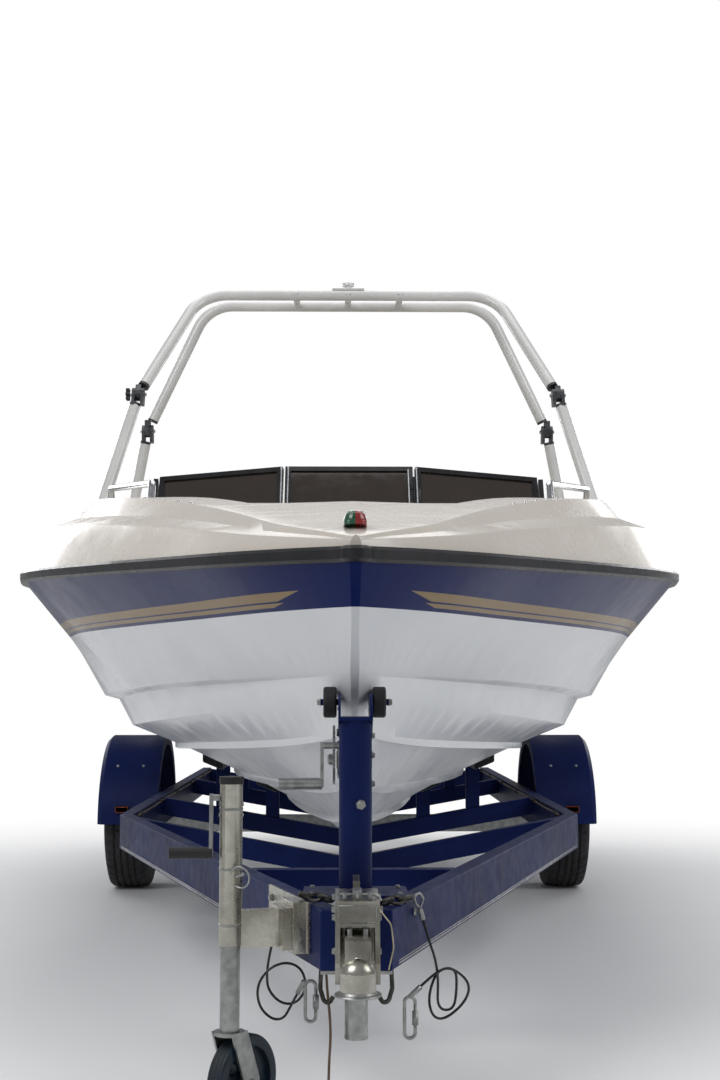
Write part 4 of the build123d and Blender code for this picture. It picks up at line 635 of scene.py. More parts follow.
CORD_DIAMETER = 0.006


def cord_piece(name, points, material, node):
    """A free cord on its CAD route, as a smooth curve."""
    curve = bpy.data.curves.new(name, "CURVE")
    curve.dimensions = "3D"
    curve.bevel_depth = CORD_DIAMETER / 2
    curve.bevel_resolution = 5
    curve.use_fill_caps = True
    line = curve.splines.new("NURBS")
    line.points.add(len(points) - 1)
    for point, place in zip(line.points, points):
        point.co = (*place, 1)
    line.order_u = 3
    line.use_endpoint_u = True
    line.resolution_u = 12
    piece = linked(name, curve)
    piece.data.materials.append(materials[material])
    bare = curve.copy()
    bare.bevel_depth = 0
    probe = linked("probe", bare)
    mesh = as_mesh(probe)
    bpy.data.objects.remove(probe)
    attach(piece, ROOT)
    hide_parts(node)


# settings and operators
class BoatStageSettings(bpy.types.PropertyGroup):
    lens: bpy.props.FloatProperty(name="Lens", description="Focal length", default=50.0, min=10.0)
    eye_height: bpy.props.FloatProperty(
        name="Eye height", description="Camera height above the floor", default=0.95, unit="LENGTH")
    eye_distance: bpy.props.FloatProperty(
        name="Eye distance", description="Camera's place ahead of the middle", default=6.55, unit="LENGTH")
    pitch: bpy.props.FloatProperty(
        name="Pitch", description="Upward tilt of the camera", default=math.radians(5.71), subtype="ANGLE")
    yaw: bpy.props.FloatProperty(
        name="Yaw", description="Turn of the camera to the right", default=math.radians(0.76), subtype="ANGLE")


# nodes whose form stands, with their edges rounded: millimetres, least angle of an edge
ROUNDED = {
    "hull": (4, 24), "deck": (6, 24), "rub_rail": (0, 30), "cleats": (1.5, 30), "windshield_frame": (3, 30),
    "gate_frame": (3, 30), "throttle": (4, 30), "seat_bases": (12, 30), "engine": (8, 30),
    "engine_hatch": (8, 30), "tower_lower_knuckles": (2, 30), "tower_upper_knuckles": (2, 30),
    "swim_platform": (8, 30), "gimbal_housing": (4, 30), "gimbal_ring": (3, 30), "drive_leg": (5, 30),
    "trailer_rails": (3, 30), "cross_members": (3, 30), "bunks": (6, 30), "bunk_brackets": (3, 30),
    "bow_stop": (2, 30), "bow_rollers": (5, 30), "coupler": (2.5, 30),
    "tongue_plates": (1.5, 30), "jack_bracket": (1.5, 30), "caster_fork": (1.5, 30), "axle": (3, 30),
    "fenders": (3, 30), "lamps": (3, 30),
}


def line_hull(piece):
    """Gives the hull's inside faces the liner's finish, without the stripes of the outside."""
    piece.data.materials.append(materials["liner_gelcoat"])
    for face in piece.data.polygons:
        middle, normal = face.center, face.normal
        inward = normal.x * middle.x < 0 and abs(normal.x) > 0.3 and abs(middle.x) > 0.15
        floor = normal.z > 0.6 and middle.z > 0.55
        wall = abs(normal.y) > 0.6 and -2.2 < middle.y < 2.95 and middle.z > 0.6 and abs(middle.x) < 0.9
        if inward or floor or wall:
            face.material_index = 1


class BOAT_OT_frame_finish(bpy.types.Operator):
    """Gives every node of the frame its finish and rounds its edges"""

    bl_idname = "boat.frame_finish"
    bl_label = "Finish the frame"

    def execute(self, context):
        make_materials()
        for name, node in frame["nodes"].items():
            if name in ROUNDED:
                piece = polished(name, *ROUNDED[name])
                if name == "hull":
                    line_hull(piece)
            else:
                node.data.materials.clear()
                node.data.materials.append(node_material(name)[1])
        return {"FINISHED"}


# loop at the port cable's end, millimetres
THIMBLE = (
    (145, 0, 460), (152, -16, 484), (142, -40, 500), (130, -42, 492), (134, -22, 474), (143, -3, 462),
)


def beam_face(aft):
    """Outer face of the tongue's beams, mm from the middle."""
    return 131 + 0.3172 * aft


class BOAT_OT_cords(bpy.types.Operator):
    """Hangs the two safety cables and the wiring lead, with the fittings on them"""

    bl_idname = "boat.cords"
    bl_label = "Hang the cords"

    def execute(self, context):
        for word, side, points in (("port", 1, PORT_CABLE), ("starboard", -1, STARBOARD_CABLE)):
            made = []
            for part in loose_parts("cable_fittings"):
                if min(side * v.co.x for v in part.verts) > 0:
                    made.append(new_piece("fitting", part))
                else:
                    part.free()
            if side > 0:
                made.append(tube_piece("thimble", [spot(*p) for p in THIMBLE], 0.0028, bend=0.012))
            fittings = join_pieces(f"{word}_cable_fittings", made)
            settle(fittings, "zinc", ROOT, ("cable_fittings",))
            name = f"{word}_safety_cable"
            cord_piece(name, points, "cable_vinyl", name)
        x, y, z = WIRING_LEAD[-1]
        bm = bmesh.new()
        add_box(bm, (x - 0.009, y - 0.0045, z - 0.036), (x + 0.009, y + 0.0045, z), 0.0016)
        for k in range(4):
            left = x - 0.0073 + k * 0.0042
            add_box(bm, (left, y - 0.0012, z - 0.0375), (left + 0.002, y + 0.0012, z - 0.0355))
        plug = settle(new_piece("lead_plug", bm), "black_plastic", ROOT)
        cord_piece("wiring_lead_cord", WIRING_LEAD, "lead_jacket", "wiring_lead")
        # the lead's clip under the beam, the eyes at the beams' faces
        blocks("lead_clip", [((-78, -92, 340), (-54, -66, 352.8))], "black_plastic", ROOT, 2)
        for side, aft, out in ((1, 0, 0), (-1, 80, 9)):
            turned("cable_eye", [([(8, 0), (8, 5), (4.5, 6), (0, 6)],
                                  (side * (beam_face(aft) + out), aft, 452), (side, 0, 0))], "zinc", ROOT)
        return {"FINISHED"}


TREAD_STEPS = 360


def tread_depth(radius, across, k):
    """How far the tread or shoulder is cut in, in mm, at step k round the tyre."""
    off = abs(across)
    if radius > 325:
        if min(abs(off - 45), abs(off - 15)) < 3:
            return 7
        skew = int(off / 14) * (1 if across > 0 else -1)
        return 5 if (k + skew) % 8 == 0 and off > 6 else 0
    return 3 if 318 < radius and (k // 4) % 2 == 0 else 0


def tyre_shape(name, side):
    """Tyre with ribs, angled sipes and a stepped sidewall."""
    outline = [
        (182, -92), (184, -97), (200, -101), (232, -103), (262, -102), (286, -98), (300, -94), (303, -91),
        (316, -90), (322, -84), (325, -80), (326.5, -70), (327.5, -60), (328, -52), (328, -46), (328.5, -44),
        (328.5, -38), (329, -36), (329, -26), (329, -22), (329, -16), (329.3, -14), (329.3, -6), (329.3, 0),
    ]
    outline += [(r, -x) for r, x in reversed(outline[:-1])]
    bm = bmesh.new()
    rings = []
    for k, (cosine, sine) in enumerate(circle(TREAD_STEPS)):
        ring = []
        for radius, across in outline:
            r = radius - tread_depth(radius, across, k)
            ring.append(bm.verts.new(
                spot(side * HUB_X + across, HUB_AFT + r * cosine, HUB_UP + r * sine)))
        rings.append(ring)
    for k in range(TREAD_STEPS):
        a, b = rings[k], rings[(k + 1) % TREAD_STEPS]
        for i in range(len(outline) - 1):
            bm.faces.new((a[i], b[i], b[i + 1], a[i + 1]))
        bm.faces.new((a[-1], b[-1], b[0], a[0]))
    return new_piece(name, bm, 24)


class BOAT_OT_wheels(bpy.types.Operator):
    """Makes the road wheels: tread, sidewall rings, rim, lug nuts, hub cap and valve"""

    bl_idname = "boat.wheels"
    bl_label = "Make the road wheels"

    def execute(self, context):
        for side, word in ((1, "port"), (-1, "starboard")):
            body, x, way = f"wheel_{word}", side * HUB_X, (side, 0, 0)
            settle(tyre_shape(f"{word}_tread", side), "tyre_rubber", body, (f"tyre_{word}",))
            polished(f"rim_{word}", 1.5)
            turned(f"{word}_sidewall_rings", [
                ([(r - 0.8, 0), (r, 1.2), (r + 0.8, 0)], (x + side * 102.2, HUB_AFT, HUB_UP), way)
                for r in (214, 236, 258)], "tyre_rubber", body, 96)
            turns = [math.radians(90 + 72 * k) for k in range(5)]
            bolts(f"{word}_lug_nuts", "nut", [
                (x + side * 24, HUB_AFT + 57 * math.cos(turn), HUB_UP + 57 * math.sin(turn), way, 11)
                for turn in turns], "zinc", body)
            turned(f"{word}_hub_cap", [([(0, 66), (14, 65), (26, 60), (31, 50), (33, 24), (37, 22), (37, 18)],
                                        (x, HUB_AFT, HUB_UP), way)], "stainless", body)
            strip(f"{word}_valve", [[(x + side * 60, HUB_AFT + 150, HUB_UP), (x + side * 86, HUB_AFT + 142, HUB_UP)]],
                  4, "black_plastic", body)
        return {"FINISHED"}


def bolts(name, kind, rows, material, body):
    """Studs at rows of (x, aft, z, direction, radius in mm)."""
    spots = [(spot(x, a, z), way, size / 1000) for x, a, z, way, size in rows]
    return repeated(name, kind, spots, material, body)


class BOAT_OT_trailer_detail(bpy.types.Operator):
    """Adds the trailer's bolts, pinstripes, tail lenses, wires and blank plate"""

    bl_idname = "boat.trailer_detail"
    bl_label = "Detail the trailer"

    def execute(self, context):
        repaint(polished("lamps", *ROUNDED["lamps"]), "red_lens", lambda p: p.y > 2.2)
        bm = bmesh.new()
        for side in SIDES:
            for height, tall in ((358, 3.5), (364.5, 2)):
                start = 225 if side < 0 else -120
                points = [spot(side * (beam_face(a) + 0.35), a, z) for a, z in (
                    (start, height), (2290, height), (2290, height + tall), (start, height + tall))]
                bm.faces.new([bm.verts.new(p) for p in points])
        bmesh.ops.solidify(bm, geom=list(bm.faces), thickness=0.0004)
        settle(new_piece("pinstripes", bm), "tower_white", ROOT)
        # the starboard beam's bracket, and both ends of the tongue's plate
        rows = [(-beam_face(a) - 9.2, a, z, (-0.953, -0.302, 0), 8) for a in (-70, 180) for z in (400, 460)]
        rows += [(side * 100, a, 488.5, (0, 0, 1), 7) for side in SIDES for a in (2, 128)]
        bolts("frame_bolts", "hex", rows, "zinc", ROOT)
        bolts("rail_bolts", "hex", [
            (side * 870.5, a, z, (side, 0, 0), 8)
            for side in SIDES for a in (3300, 3870, 4130, 4700) for z in (405, 450)], "zinc", ROOT)
        # wires clipped along the inner face of the rails
        route = ((2420, 470), (2900, 466), (3500, 471), (4300, 466), (5000, 470), (5700, 466))
        for side in SIDES:
            strip("rail_wire", [[(side * 812, a, z) for a, z in route]], 3.5, "lead_jacket", ROOT, bend_mm=200)
            blocks("wire_clips", [
                ((side * 806, a, 460), (side * 819.5, a + 14, 477)) for a in (2500, 3150, 3800, 4450, 5100, 5600)
            ], "black_plastic", ROOT, 1.5)
        blocks("plate_holder", [((-560, 5801, 360), (-410, 5803, 460))], "zinc", ROOT, 0.6)
        return {"FINISHED"}


class BOAT_OT_winch_detail(bpy.types.Operator):
    """Adds the winch's gears, hubs, wound strap and crank grip, and the bow stop's bolts"""

    bl_idname = "boat.winch_detail"
    bl_label = "Detail the winch"

    def execute(self, context):
        winch = polished("winch", 1.5)
        repaint(winch, "black_plastic", lambda p: p.x < -0.0845 and p.z < 0.702)
        for name, radius, teeth, aft, z in (("gear", 58, 44, 140, 786), ("pinion", 17, 12, 128, 850)):
            outline = []
            for k, (cosine, sine) in enumerate(circle(teeth * 4)):
                r = (radius - 4 if k % 4 in (0, 1) else radius) / 1000
                outline.append((r * cosine, r * sine))
            settle(flat_wheel(f"winch_{name}", spot(-50, aft, z), outline, 0.003), "zinc", ROOT)
        turned("winch_hubs", [
            ([(0, 14), (10, 13), (13, 10), (13, 0)], (-52, 140, 786), (-1, 0, 0)),
            ([(0, 9), (8, 8), (9, 0)], (-44, 128, 850), (1, 0, 0)),
        ], "zinc", ROOT)
        turned("wound_strap", [([(25, -20), (39, -20), (40, -19), (40, 19), (39, 20), (25, 20)],
                                (0, 140, 786), (1, 0, 0))], "strap_webbing", ROOT)
        rows = [
            (side * x, a, z, (side, 0, 0), size)
            for side in SIDES for x, a, z, size in ((84, 268, 920, 9), (37, 240, 905, 6))
        ]
        bolts("stop_bolts", "hex", rows, "zinc", ROOT)
        return {"FINISHED"}


class BOAT_OT_tower_detail(bpy.types.Operator):
    """Adds the tower's bolts and screws, star knob and tow knob's cap"""

    bl_idname = "boat.tower_detail"
    bl_label = "Detail the tower"

    def execute(self, context):
        for body, way in (("tower", 1), (ROOT, -1)):
            bolts("knuckle_bolts", "hex", [
                (side * x + way * 26.5, a, z, (way, 0, 0), 10)
                for x, a, z in ((936, 3150, 2260), (976, 3800, 2207)) for side in SIDES], "stainless", body)
        outline = []
        for k, (cosine, sine) in enumerate(circle(48)):
            r = 0.024 + 0.006 * math.cos(math.pi * k / 4)
            outline.append((r * cosine, r * sine))
        settle(flat_wheel("star_knob", spot(-982, 3150, 2260), outline, 0.008), "black_plastic", "tower")
        turned("knob_stem", [([(7, 0), (7, 24)], (-954, 3150, 2260), (-1, 0, 0))], "stainless", "tower")
        bolts("bridge_screws", "dome", [
            (x + off, 3424.5, 2795, (0, -1, 0), 4) for x in (-245, 0, 245) for off in (9, -9)], "stainless", "tower")
        turned("tow_cap", [([(0, 8), (18, 7), (27, 3), (29, 0), (27, -3)], (0, 3510, 2866), (0, 0, 1))],
               "stainless", "tower")
        return {"FINISHED"}


# crowned cushions: node, voxel mm, most swelling mm, channel spacing across mm
CUSHIONS = (
    ("bow_cushions", 14, 9, 0), ("seat_cushions", 14, 12, 0), ("bench_cushions", 16, 11, 300),
    ("sun_pad", 18, 8, 250),
)


def swell(piece, voxel_mm, cap_mm):
    """Cloth pressure on a remeshed copy, with the movement of each point capped."""
    remesh = piece.modifiers.new("remesh", "REMESH")
    remesh.mode = "VOXEL"
    remesh.voxel_size = voxel_mm / 1000
    applied(piece)
    mesh = piece.data
    middle = sum((v.co for v in mesh.vertices), Vector()) / len(mesh.vertices)
    size = [max(v.co[i] for v in mesh.vertices) - min(v.co[i] for v in mesh.vertices) for i in range(3)]
    shrink = [max(0.8, 1 - 2 * cap_mm * 0.7 / 1000 / s) for s in size]
    for v in mesh.vertices:
        v.co = Vector(middle[i] + (v.co[i] - middle[i]) * shrink[i] for i in range(3))
    rest = [v.co.copy() for v in mesh.vertices]
    cloth = piece.modifiers.new("cloth", "CLOTH")
    cloth.settings.use_pressure = True
    cloth.settings.uniform_pressure_force = 4
    cloth.settings.effector_weights.gravity = 0
    cloth.settings.quality = 5
    for frame_number in range(1, 16):
        bpy.context.scene.frame_set(frame_number)
    applied(piece)
    bpy.context.scene.frame_set(1)
    for v, place in zip(piece.data.vertices, rest):
        move = v.co - place
        if move.length > cap_mm / 1000:
            v.co = place + move.normalized() * (cap_mm / 1000)
    piece.data.shade_smooth()
    return piece


def piping(piece, height, radius):
    """Sewn piping round a piece at a height, as tubes."""
    bm = bmesh.new()
    bm.from_mesh(piece.data)
    cut = bmesh.ops.bisect_plane(
        bm, geom=list(bm.verts) + list(bm.edges) + list(bm.faces), plane_co=(0, 0, height), plane_no=(0, 0, 1))
    edges = {e for e in cut["geom_cut"] if isinstance(e, bmesh.types.BMEdge)}
    loops = []
    while edges:
        edge = edges.pop()
        path = [edge.verts[0], edge.verts[1]]
        growing = True
        while growing:
            growing = False
            for e in path[-1].link_edges:
                if e in edges:
                    edges.discard(e)
                    path.append(e.other_vert(path[-1]))
                    growing = True
                    break
        places = [v.co.copy() for v in path]
        if len(places) > 12:
            loops.append(places[:-1][::2])
    bm.free()
    return [tube_piece("piping", places, radius, True, 3) for places in loops]


class BOAT_OT_cushions(bpy.types.Operator):
    """Makes the bow, seat, bench and sun pad cushions, crowned and sewn, with piping"""

    bl_idname = "boat.cushions"
    bl_label = "Sew the cushions"

    def execute(self, context):
        for node, voxel, cap, channel in CUSHIONS:
            body, welts = node_at(node), []
            for k, part in enumerate(loose_parts(node)):
                piece = swell(new_piece(f"{node}_{k + 1}", part), voxel, cap)
                if channel:
                    for v in piece.data.vertices:
                        off = abs((v.co.x * 1000 + channel / 2) % channel - channel / 2)
                        v.co.z -= 0.004 * math.exp(-((off / 14) ** 2)) if v.normal.z > 0.5 else 0
                heights = [v.co.z for v in piece.data.vertices]
                top, low = max(heights), min(heights)
                smooth = piece.modifiers.new("smooth", "SUBSURF")
                smooth.levels = smooth.render_levels = 1
                applied(piece)
                piece.data.shade_smooth()
                welts += piping(piece, max(top - 0.018, (top + low) / 2), 0.0032)
                settle(piece, "marine_vinyl", body, (node,))
            if welts:
                settle(join_pieces(f"{node}_piping", welts), "blue_vinyl", body)
        return {"FINISHED"}


class BOAT_OT_cockpit_detail(bpy.types.Operator):
    """Adds the gauges, switches, speakers, carpets and the hatch's latch"""

    bl_idname = "boat.cockpit_detail"
    bl_label = "Detail the cockpit"

    def execute(self, context):
        bezels, faces, needles = [], [], []
        for x, z, r in ((-600, 1545, 30), (-520, 1552, 44), (-415, 1552, 44), (-335, 1545, 30)):
            bezels.append(([(r - 6, 4), (r - 4, 9), (r, 8), (r + 2, 0)], (x, 3150.2, z), (0, 1, 0)))
            faces.append(([(0, 4.5), (r - 5, 4.5)], (x, 3150.2, z), (0, 1, 0)))
            needles.append([(x, 3156, z), (x - r * 0.5, 3156, z + r * 0.35)])
        turned("gauge_bezels", bezels, "stainless", ROOT)
        turned("gauge_faces", faces, "black_plastic", ROOT)
        strip("gauge_needles", needles, 1, "tower_white", ROOT)
        blocks("switches", [((x, 3150.3, 1488), (x + 18, 3158, 1512)) for x in range(-720, -640, 26)],
               "black_plastic", ROOT, 2)
        cone = [(0, 3), (20, 4), (22, 9), (60, 7), (74, 10), (82, 8), (84, 0)]
        speakers = []
        for side in SIDES:
            speakers += [(cone, (side * 600, 3150.3, 1340), (0, 1, 0)), (cone, (side * 233, 1900, 1010), (-side, 0, 0))]
        turned("speakers", speakers, "black_plastic", ROOT, 48)
        blocks("cockpit_carpet", [((-680, 3165, 800.2), (680, 4570, 806))], "sole_carpet", ROOT, 3)
        blocks("bow_carpet", [((-222, 1180, 880.2), (222, 2345, 885))], "sole_carpet", ROOT, 2)
        turned("hatch_latch", [([(0, 3), (20, 3), (26, 6), (34, 5), (36, 0)], (0, 5150, 1480.3), (0, 0, 1))],
               "stainless", "hatch")
        return {"FINISHED"}


class BOAT_OT_deck_detail(bpy.types.Operator):
    """Adds the snap studs, windshield gasket and posts, drain plug, stern eyes and platform pads"""

    bl_idname = "boat.deck_detail"
    bl_label = "Detail the deck"

    def execute(self, context):
        places = [(300 + 88 * k, 2520 + 33 * k) for k in range(6)]
        places += [(858 + 10 * k, 2870 + 150 * k) for k in range(5)]
        places += [(930, 4100 + 220 * k) for k in range(4)]
        places += [(650 - 45 * k, 1250 - 90 * k) for k in range(5)]
        hits = dropped("deck", [(side * x, a) for side in SIDES for x, a in places], 2200)
        rows = [(hit, normal, 0.0075) for hit, normal in hits if hit is not None and normal.z > 0.7 and hit.z > 1.4]
        repeated("snap_studs", "snap", rows, "stainless", ROOT)
        for side in SIDES:
            strip("windshield_foot", [[(side * 276, 2556, 1606), (side * 800, 2753, 1606), (side * 826, 2786, 1606),
                                       (side * 886, 3478, 1606)]], 7, "black_vinyl", ROOT, bend_mm=30)
        front = Vector((0, -0.856, 0.517)) * 0.014
        for body, x in ((ROOT, 279), ("windshield_gate", 251)):
            runs = []
            for side in SIDES:
                if body != ROOT and side > 0:
                    low, high = (side * x - 6, 2560, 1640), (side * x - 6, 2712, 1850)
                else:
                    low, high = (side * x, 2560, 1625), (side * x, 2716, 1862)
                runs.append([(p[0], p[1] + front.y * 1000, p[2] + front.z * 1000) for p in (low, high)])
            strip("silver_posts", runs, 4.5, "silver_frame", body)
        turned("drain_plug", [([(0, 9), (10, 8), (12, 4), (22, 3), (24, 0)], (0, 6100.5, 400), (0, 1, 0))],
               "stainless", ROOT)
        turned("stern_eyes", [
            ([(4, 0), (16, 1), (18, 4), (0, 6)], (side * 620, 6100.5, 900), (0, 1, 0)) for side in SIDES
        ], "stainless", ROOT)
        blocks("platform_pads", [((x, 6115, 1025.2), (x + 330, 6465, 1029)) for x in (-810, -440, 110, 480)],
               "black_vinyl", ROOT, 2)
        return {"FINISHED"}


def blade_grid(bm, turn, centre_aft, z, radius=178, hub=34):
    """One twisted propeller blade as a closed thin shell."""
    steps, across = 14, 12
    for side in SIDES:
        grid = []
        for i in range(steps + 1):
            share = i / steps
            r = hub + (radius - hub) * share
            chord = 96 * math.sqrt(max(0.02, 1 - (share * 1.02 - 0.42) ** 2 / 0.36)) + 6
            pitch = math.atan2(430 / (2 * math.pi), r)
            line = []
            for j in range(across + 1):
                u = j / across - 0.5
                thick = side * 4.2 * (1 - share * 0.6) * math.sqrt(max(0.0, 1 - (2 * u) ** 2))
                along = u * chord + share * share * 14
                y = along * math.sin(pitch) + thick * math.cos(pitch)
                sweep = (along * math.cos(pitch) - thick * math.sin(pitch)) / r
                angle = turn + sweep
                line.append(spot(r * math.cos(angle), centre_aft + y + share * 10, z + r * math.sin(angle)))
            grid.append([bm.verts.new(p) for p in line])
        for a, b in zip(grid, grid[1:]):
            for i in range(across):
                corners = [a[i], a[i + 1], b[i + 1], b[i]]
                bm.faces.new(corners if side > 0 else corners[::-1])


class BOAT_OT_drive_detail(bpy.types.Operator):
    """Makes the twisted propeller and the trim cylinders' glands"""

    bl_idname = "boat.drive_detail"
    bl_label = "Detail the drive"

    def execute(self, context):
        bm = bmesh.new()
        for k in range(3):
            blade_grid(bm, math.radians(90 + 120 * k), 6612, 265)
        add_lathe(bm, [(r / 1000, h / 1000) for r, h in (
            (0, -2), (30, -2), (35, -8), (36, -60), (34, -110), (30, -119), (24, -119), (24, -100), (0, -100))],
            spot(0, 6680, 265), (0, 1, 0), 48)
        bmesh.ops.remove_doubles(bm, verts=bm.verts, dist=2e-5)
        settle(new_piece("propeller_blades", bm, 50), "drive_black", "propeller", ("propeller",))
        turned("trim_glands", [
            ([(12, 0), (20, 1), (23, 4), (23, 14), (21, 16), (12, 16)], (side * 166, 6370, 636), (0, 0.994, 0.107))
            for side in SIDES], "stainless", "trim_barrels")
        return {"FINISHED"}


def ring_points(centre, radius, normal, count=16):
    """Points in millimetres round a circle."""
    normal = Vector(normal).normalized()
    across = normal.orthogonal()
    up = normal.cross(across)
    return [tuple(Vector(centre) + across * a + up * b) for a, b in circle(count, radius)]


class BOAT_OT_jack_detail(bpy.types.Operator):
    """Adds the jack's cap, crank grip, pull ring, bands and rivets, and the caster's bolts and ribs"""

    bl_idname = "boat.jack_detail"
    bl_label = "Detail the jack"

    def execute(self, context):
        outer = polished("jack_outer", 1.2)
        repaint(outer, "black_plastic", lambda p: p.z > 0.744 or p.x < -0.3195 and p.z < 0.612)
        repaint(outer, "zinc", lambda p: -0.3195 <= p.x < -0.301 and p.z < 0.745)
        bands = [([(25.1, -3), (26.4, -2), (26.4, 2), (25.1, 3)], (-275, -100, z), (0, 0, 1))
                 for z in (690, 560, 440)]
        bands.append(([(22.2, 0), (24, 0), (24, -7), (22.2, -8)], (-275, -100, 396), (0, 0, 1)))
        turned("jack_bands", bands, "zinc", "jack")
        strip("pull_ring", [ring_points((-253, -132, 545), 17, (0.5, 1, 0.2))], 2.2, "zinc", "jack", True)
        strip("pull_pin", [[(-262, -122, 545), (-246, -134, 552)]], 4, "zinc", "jack")
        bolts("jack_rivets", "dome", [
            (-275 + 25 * side, -100, z, (side, 0, 0), 5) for side in SIDES for z in (700, 676)], "zinc", "jack")
        # the caster stands turned by its swivel
        yaw = math.radians(35)
        axis = (math.cos(yaw), -math.sin(yaw), 0)
        centre = (-275 + 45 * math.sin(yaw), -100 + 45 * math.cos(yaw), 100)
        rows = []
        for side in SIDES:
            way = tuple(side * v for v in axis)
            rows.append((centre[0] + 30.2 * way[0], centre[1] + 30.2 * way[1], 100, way, 9))
        bolts("caster_bolts", "hex", rows, "zinc", "caster")
        turned("caster_ribs", [
            ([(99.6, off - 3), (100.4, off - 2), (100.4, off + 2), (99.6, off + 3)], centre, axis)
            for off in (-11, 0, 11)], "tyre_rubber", "caster_roller", 72)
        return {"FINISHED"}


class BOAT_OT_coupler_detail(bpy.types.Operator):
    """Adds the coupler's flange, latch, rods, bolts and wire, the chains, hooks and the stub tube's rim"""

    bl_idname = "boat.coupler_detail"
    bl_label = "Detail the coupler"

    def execute(self, context):
        turned("cup_flange", [([(35.6, 0), (46, 0), (47, 2), (46, 4), (38, 5), (36, 9)], (0, -444.6, 355.2), (0, 0, 1)),
                              ([(0, 5), (9, 4), (12, 0)], (0, -444.6, 428), (0, 0, 1))], "zinc", ROOT)
        rods = [[(side * 16, -386, z) for z in (404, 430, 458, 474)] for side in SIDES]
        strip("latch_rods", rods, 5.5, "zinc", ROOT)
        bolts("coupler_bolts", "hex", [
            (side * 45.2, a, z, (side, 0, 0), 8) for side in SIDES
            for a, z in ((-205, 400), (-205, 470), (-300, 500), (-150, 505))], "zinc", ROOT)
        blocks("latch_top", [
            ((-9, -330, 526.2), (9, -262, 540)), ((-30, -352, 526.2), (-22, -300, 536)),
            ((22, -352, 526.2), (30, -300, 536)), ((-3, -356, 526.2), (3, -345, 545)),
        ], "zinc", ROOT, 1.5)
        strip("latch_pin", [[(-36, -322, 533), (36, -322, 533), (44, -318, 528), (48, -300, 520)]], 3, "zinc",
              ROOT, bend_mm=6)
        # raised frame of the blank plate on the nose
        strip("nose_frame", [[(-38, -370.5, 484), (38, -370.5, 484), (38, -370.5, 517), (-38, -370.5, 517)]],
              2.2, "zinc", ROOT, True)
        made = []
        for side, seat in ((1, 480), (-1, 487)):
            for k in range(3):
                near = Vector((66 + 22 * k, -112 + 21.7 * k, seat + 10))
                way = Vector((0.72, 0.69, 0))
                tilt = Vector((-0.69 * 0.8, 0.72 * 0.8, 0.6 if k % 2 else -0.6))
                loop = []
                for cosine, sine in circle(20):
                    p = near + way * (19 * cosine) + tilt * (11 * sine)
                    loop.append(spot(side * p.x, p.y, p.z))
                made.append(tube_piece("link", loop, 0.0042, True, 3))
        settle(join_pieces("chain_links", made), "dull_steel", ROOT, ("safety_links",))
        turned("stub_rim", [([(20, 0), (21, -2), (25, -2), (26, 0), (25.6, 6)], (0, -128, 205.2), (0, 0, 1))],
               "zinc", ROOT)
        strip("spring_wire", [[(44, -330, 505), (70, -300, 470), (76, -280, 420), (66, -262, 372)]], 1.5,
              "cream_wire", ROOT, bend_mm=40)
        hook = ((76, -118, 352), (78, -120, 306), (70, -122, 280), (58, -122, 276), (50, -122, 290))
        strip("hook_bars", [[(side * x, a, z) for x, a, z in hook] for side in SIDES], 5, "dull_steel", ROOT,
              bend_mm=12)
        rows = [(12, 11.5, 690, (0, -1, 0), 10)]
        rows += [(38.5, 50, z, (1, 0, 0), 7) for z in (845, 800, 735)]
        bolts("post_bolts", "hex", rows, "zinc", ROOT)
        return {"FINISHED"}


class BOAT_OT_engine_detail(bpy.types.Operator):
    """Adds the engine's covers, manifolds, arrestor, pulleys, belt and hoses"""

    bl_idname = "boat.engine_detail"
    bl_label = "Detail the engine"

    def execute(self, context):
        bm = bmesh.new()
        for side in SIDES:
            x = side * 170
            add_box(bm, spot(x - 62, 5300, 1205), spot(x + 62, 5820, 1275), 0.014)
            for a in range(5340, 5725, 96):
                add_box(bm, spot(x - 50, a, 1272), spot(x + 50, a + 12, 1281), 0.002)
        add_box(bm, spot(-85, 5400, 1205), spot(85, 5740, 1262), 0.012)
        settle(new_piece("valve_covers", bm), "engine_paint", ROOT)
        ribs = [(0, 118)]
        for k in range(7):
            top = 118 - 6 * k
            ribs += [(112, top), (112, top - 4), (104, top - 5), (104, top - 6)]
        ribs += [(60, 66), (60, 0)]
        turned("flame_arrestor", [(ribs, (0, 5560, 1258), (0, 0, 1))], "stainless", ROOT, 56)
        pulleys = []
        for x, z, r in ((0, 880, 78), (-150, 1060, 52), (150, 1060, 44), (0, 1130, 60)):
            pulleys.append(([(0, 26), (12, 26), (14, 20), (r - 12, 20), (r - 8, 24), (r, 22), (r - 6, 14), (r, 6),
                             (r - 2, 2), (0, 2)], (x, 5239, z), (0, -1, 0)))
        turned("pulleys", pulleys, "dull_steel", ROOT, 44)
        strip("belt", [[(-78, 5225, 880), (-202, 5225, 1060), (-150, 5225, 1112), (0, 5225, 1190), (150, 5225, 1104),
                        (194, 5225, 1060), (78, 5225, 880), (0, 5225, 802)]], 5, "roller_rubber", ROOT, True)
        bm = bmesh.new()
        for side in SIDES:
            out, neck = side * 310, side * 285
            add_box(bm, spot(out - 28, 5320, 1040), spot(out + 28, 5800, 1110), 0.02)
            for a in range(5350, 5726, 125):
                add_box(bm, spot(neck - 22, a, 1050), spot(neck + 22, a + 50, 1100), 0.01)
        settle(new_piece("manifolds", bm), "engine_paint", ROOT)
        for side in SIDES:
            strip("cooling_hose", [[(side * 300, 5300, 1090), (side * 260, 5232, 1130), (side * 120, 5215, 1180),
                                    (side * 60, 5238, 1190)]], 15, "roller_rubber", ROOT, bend_mm=45)
        return {"FINISHED"}


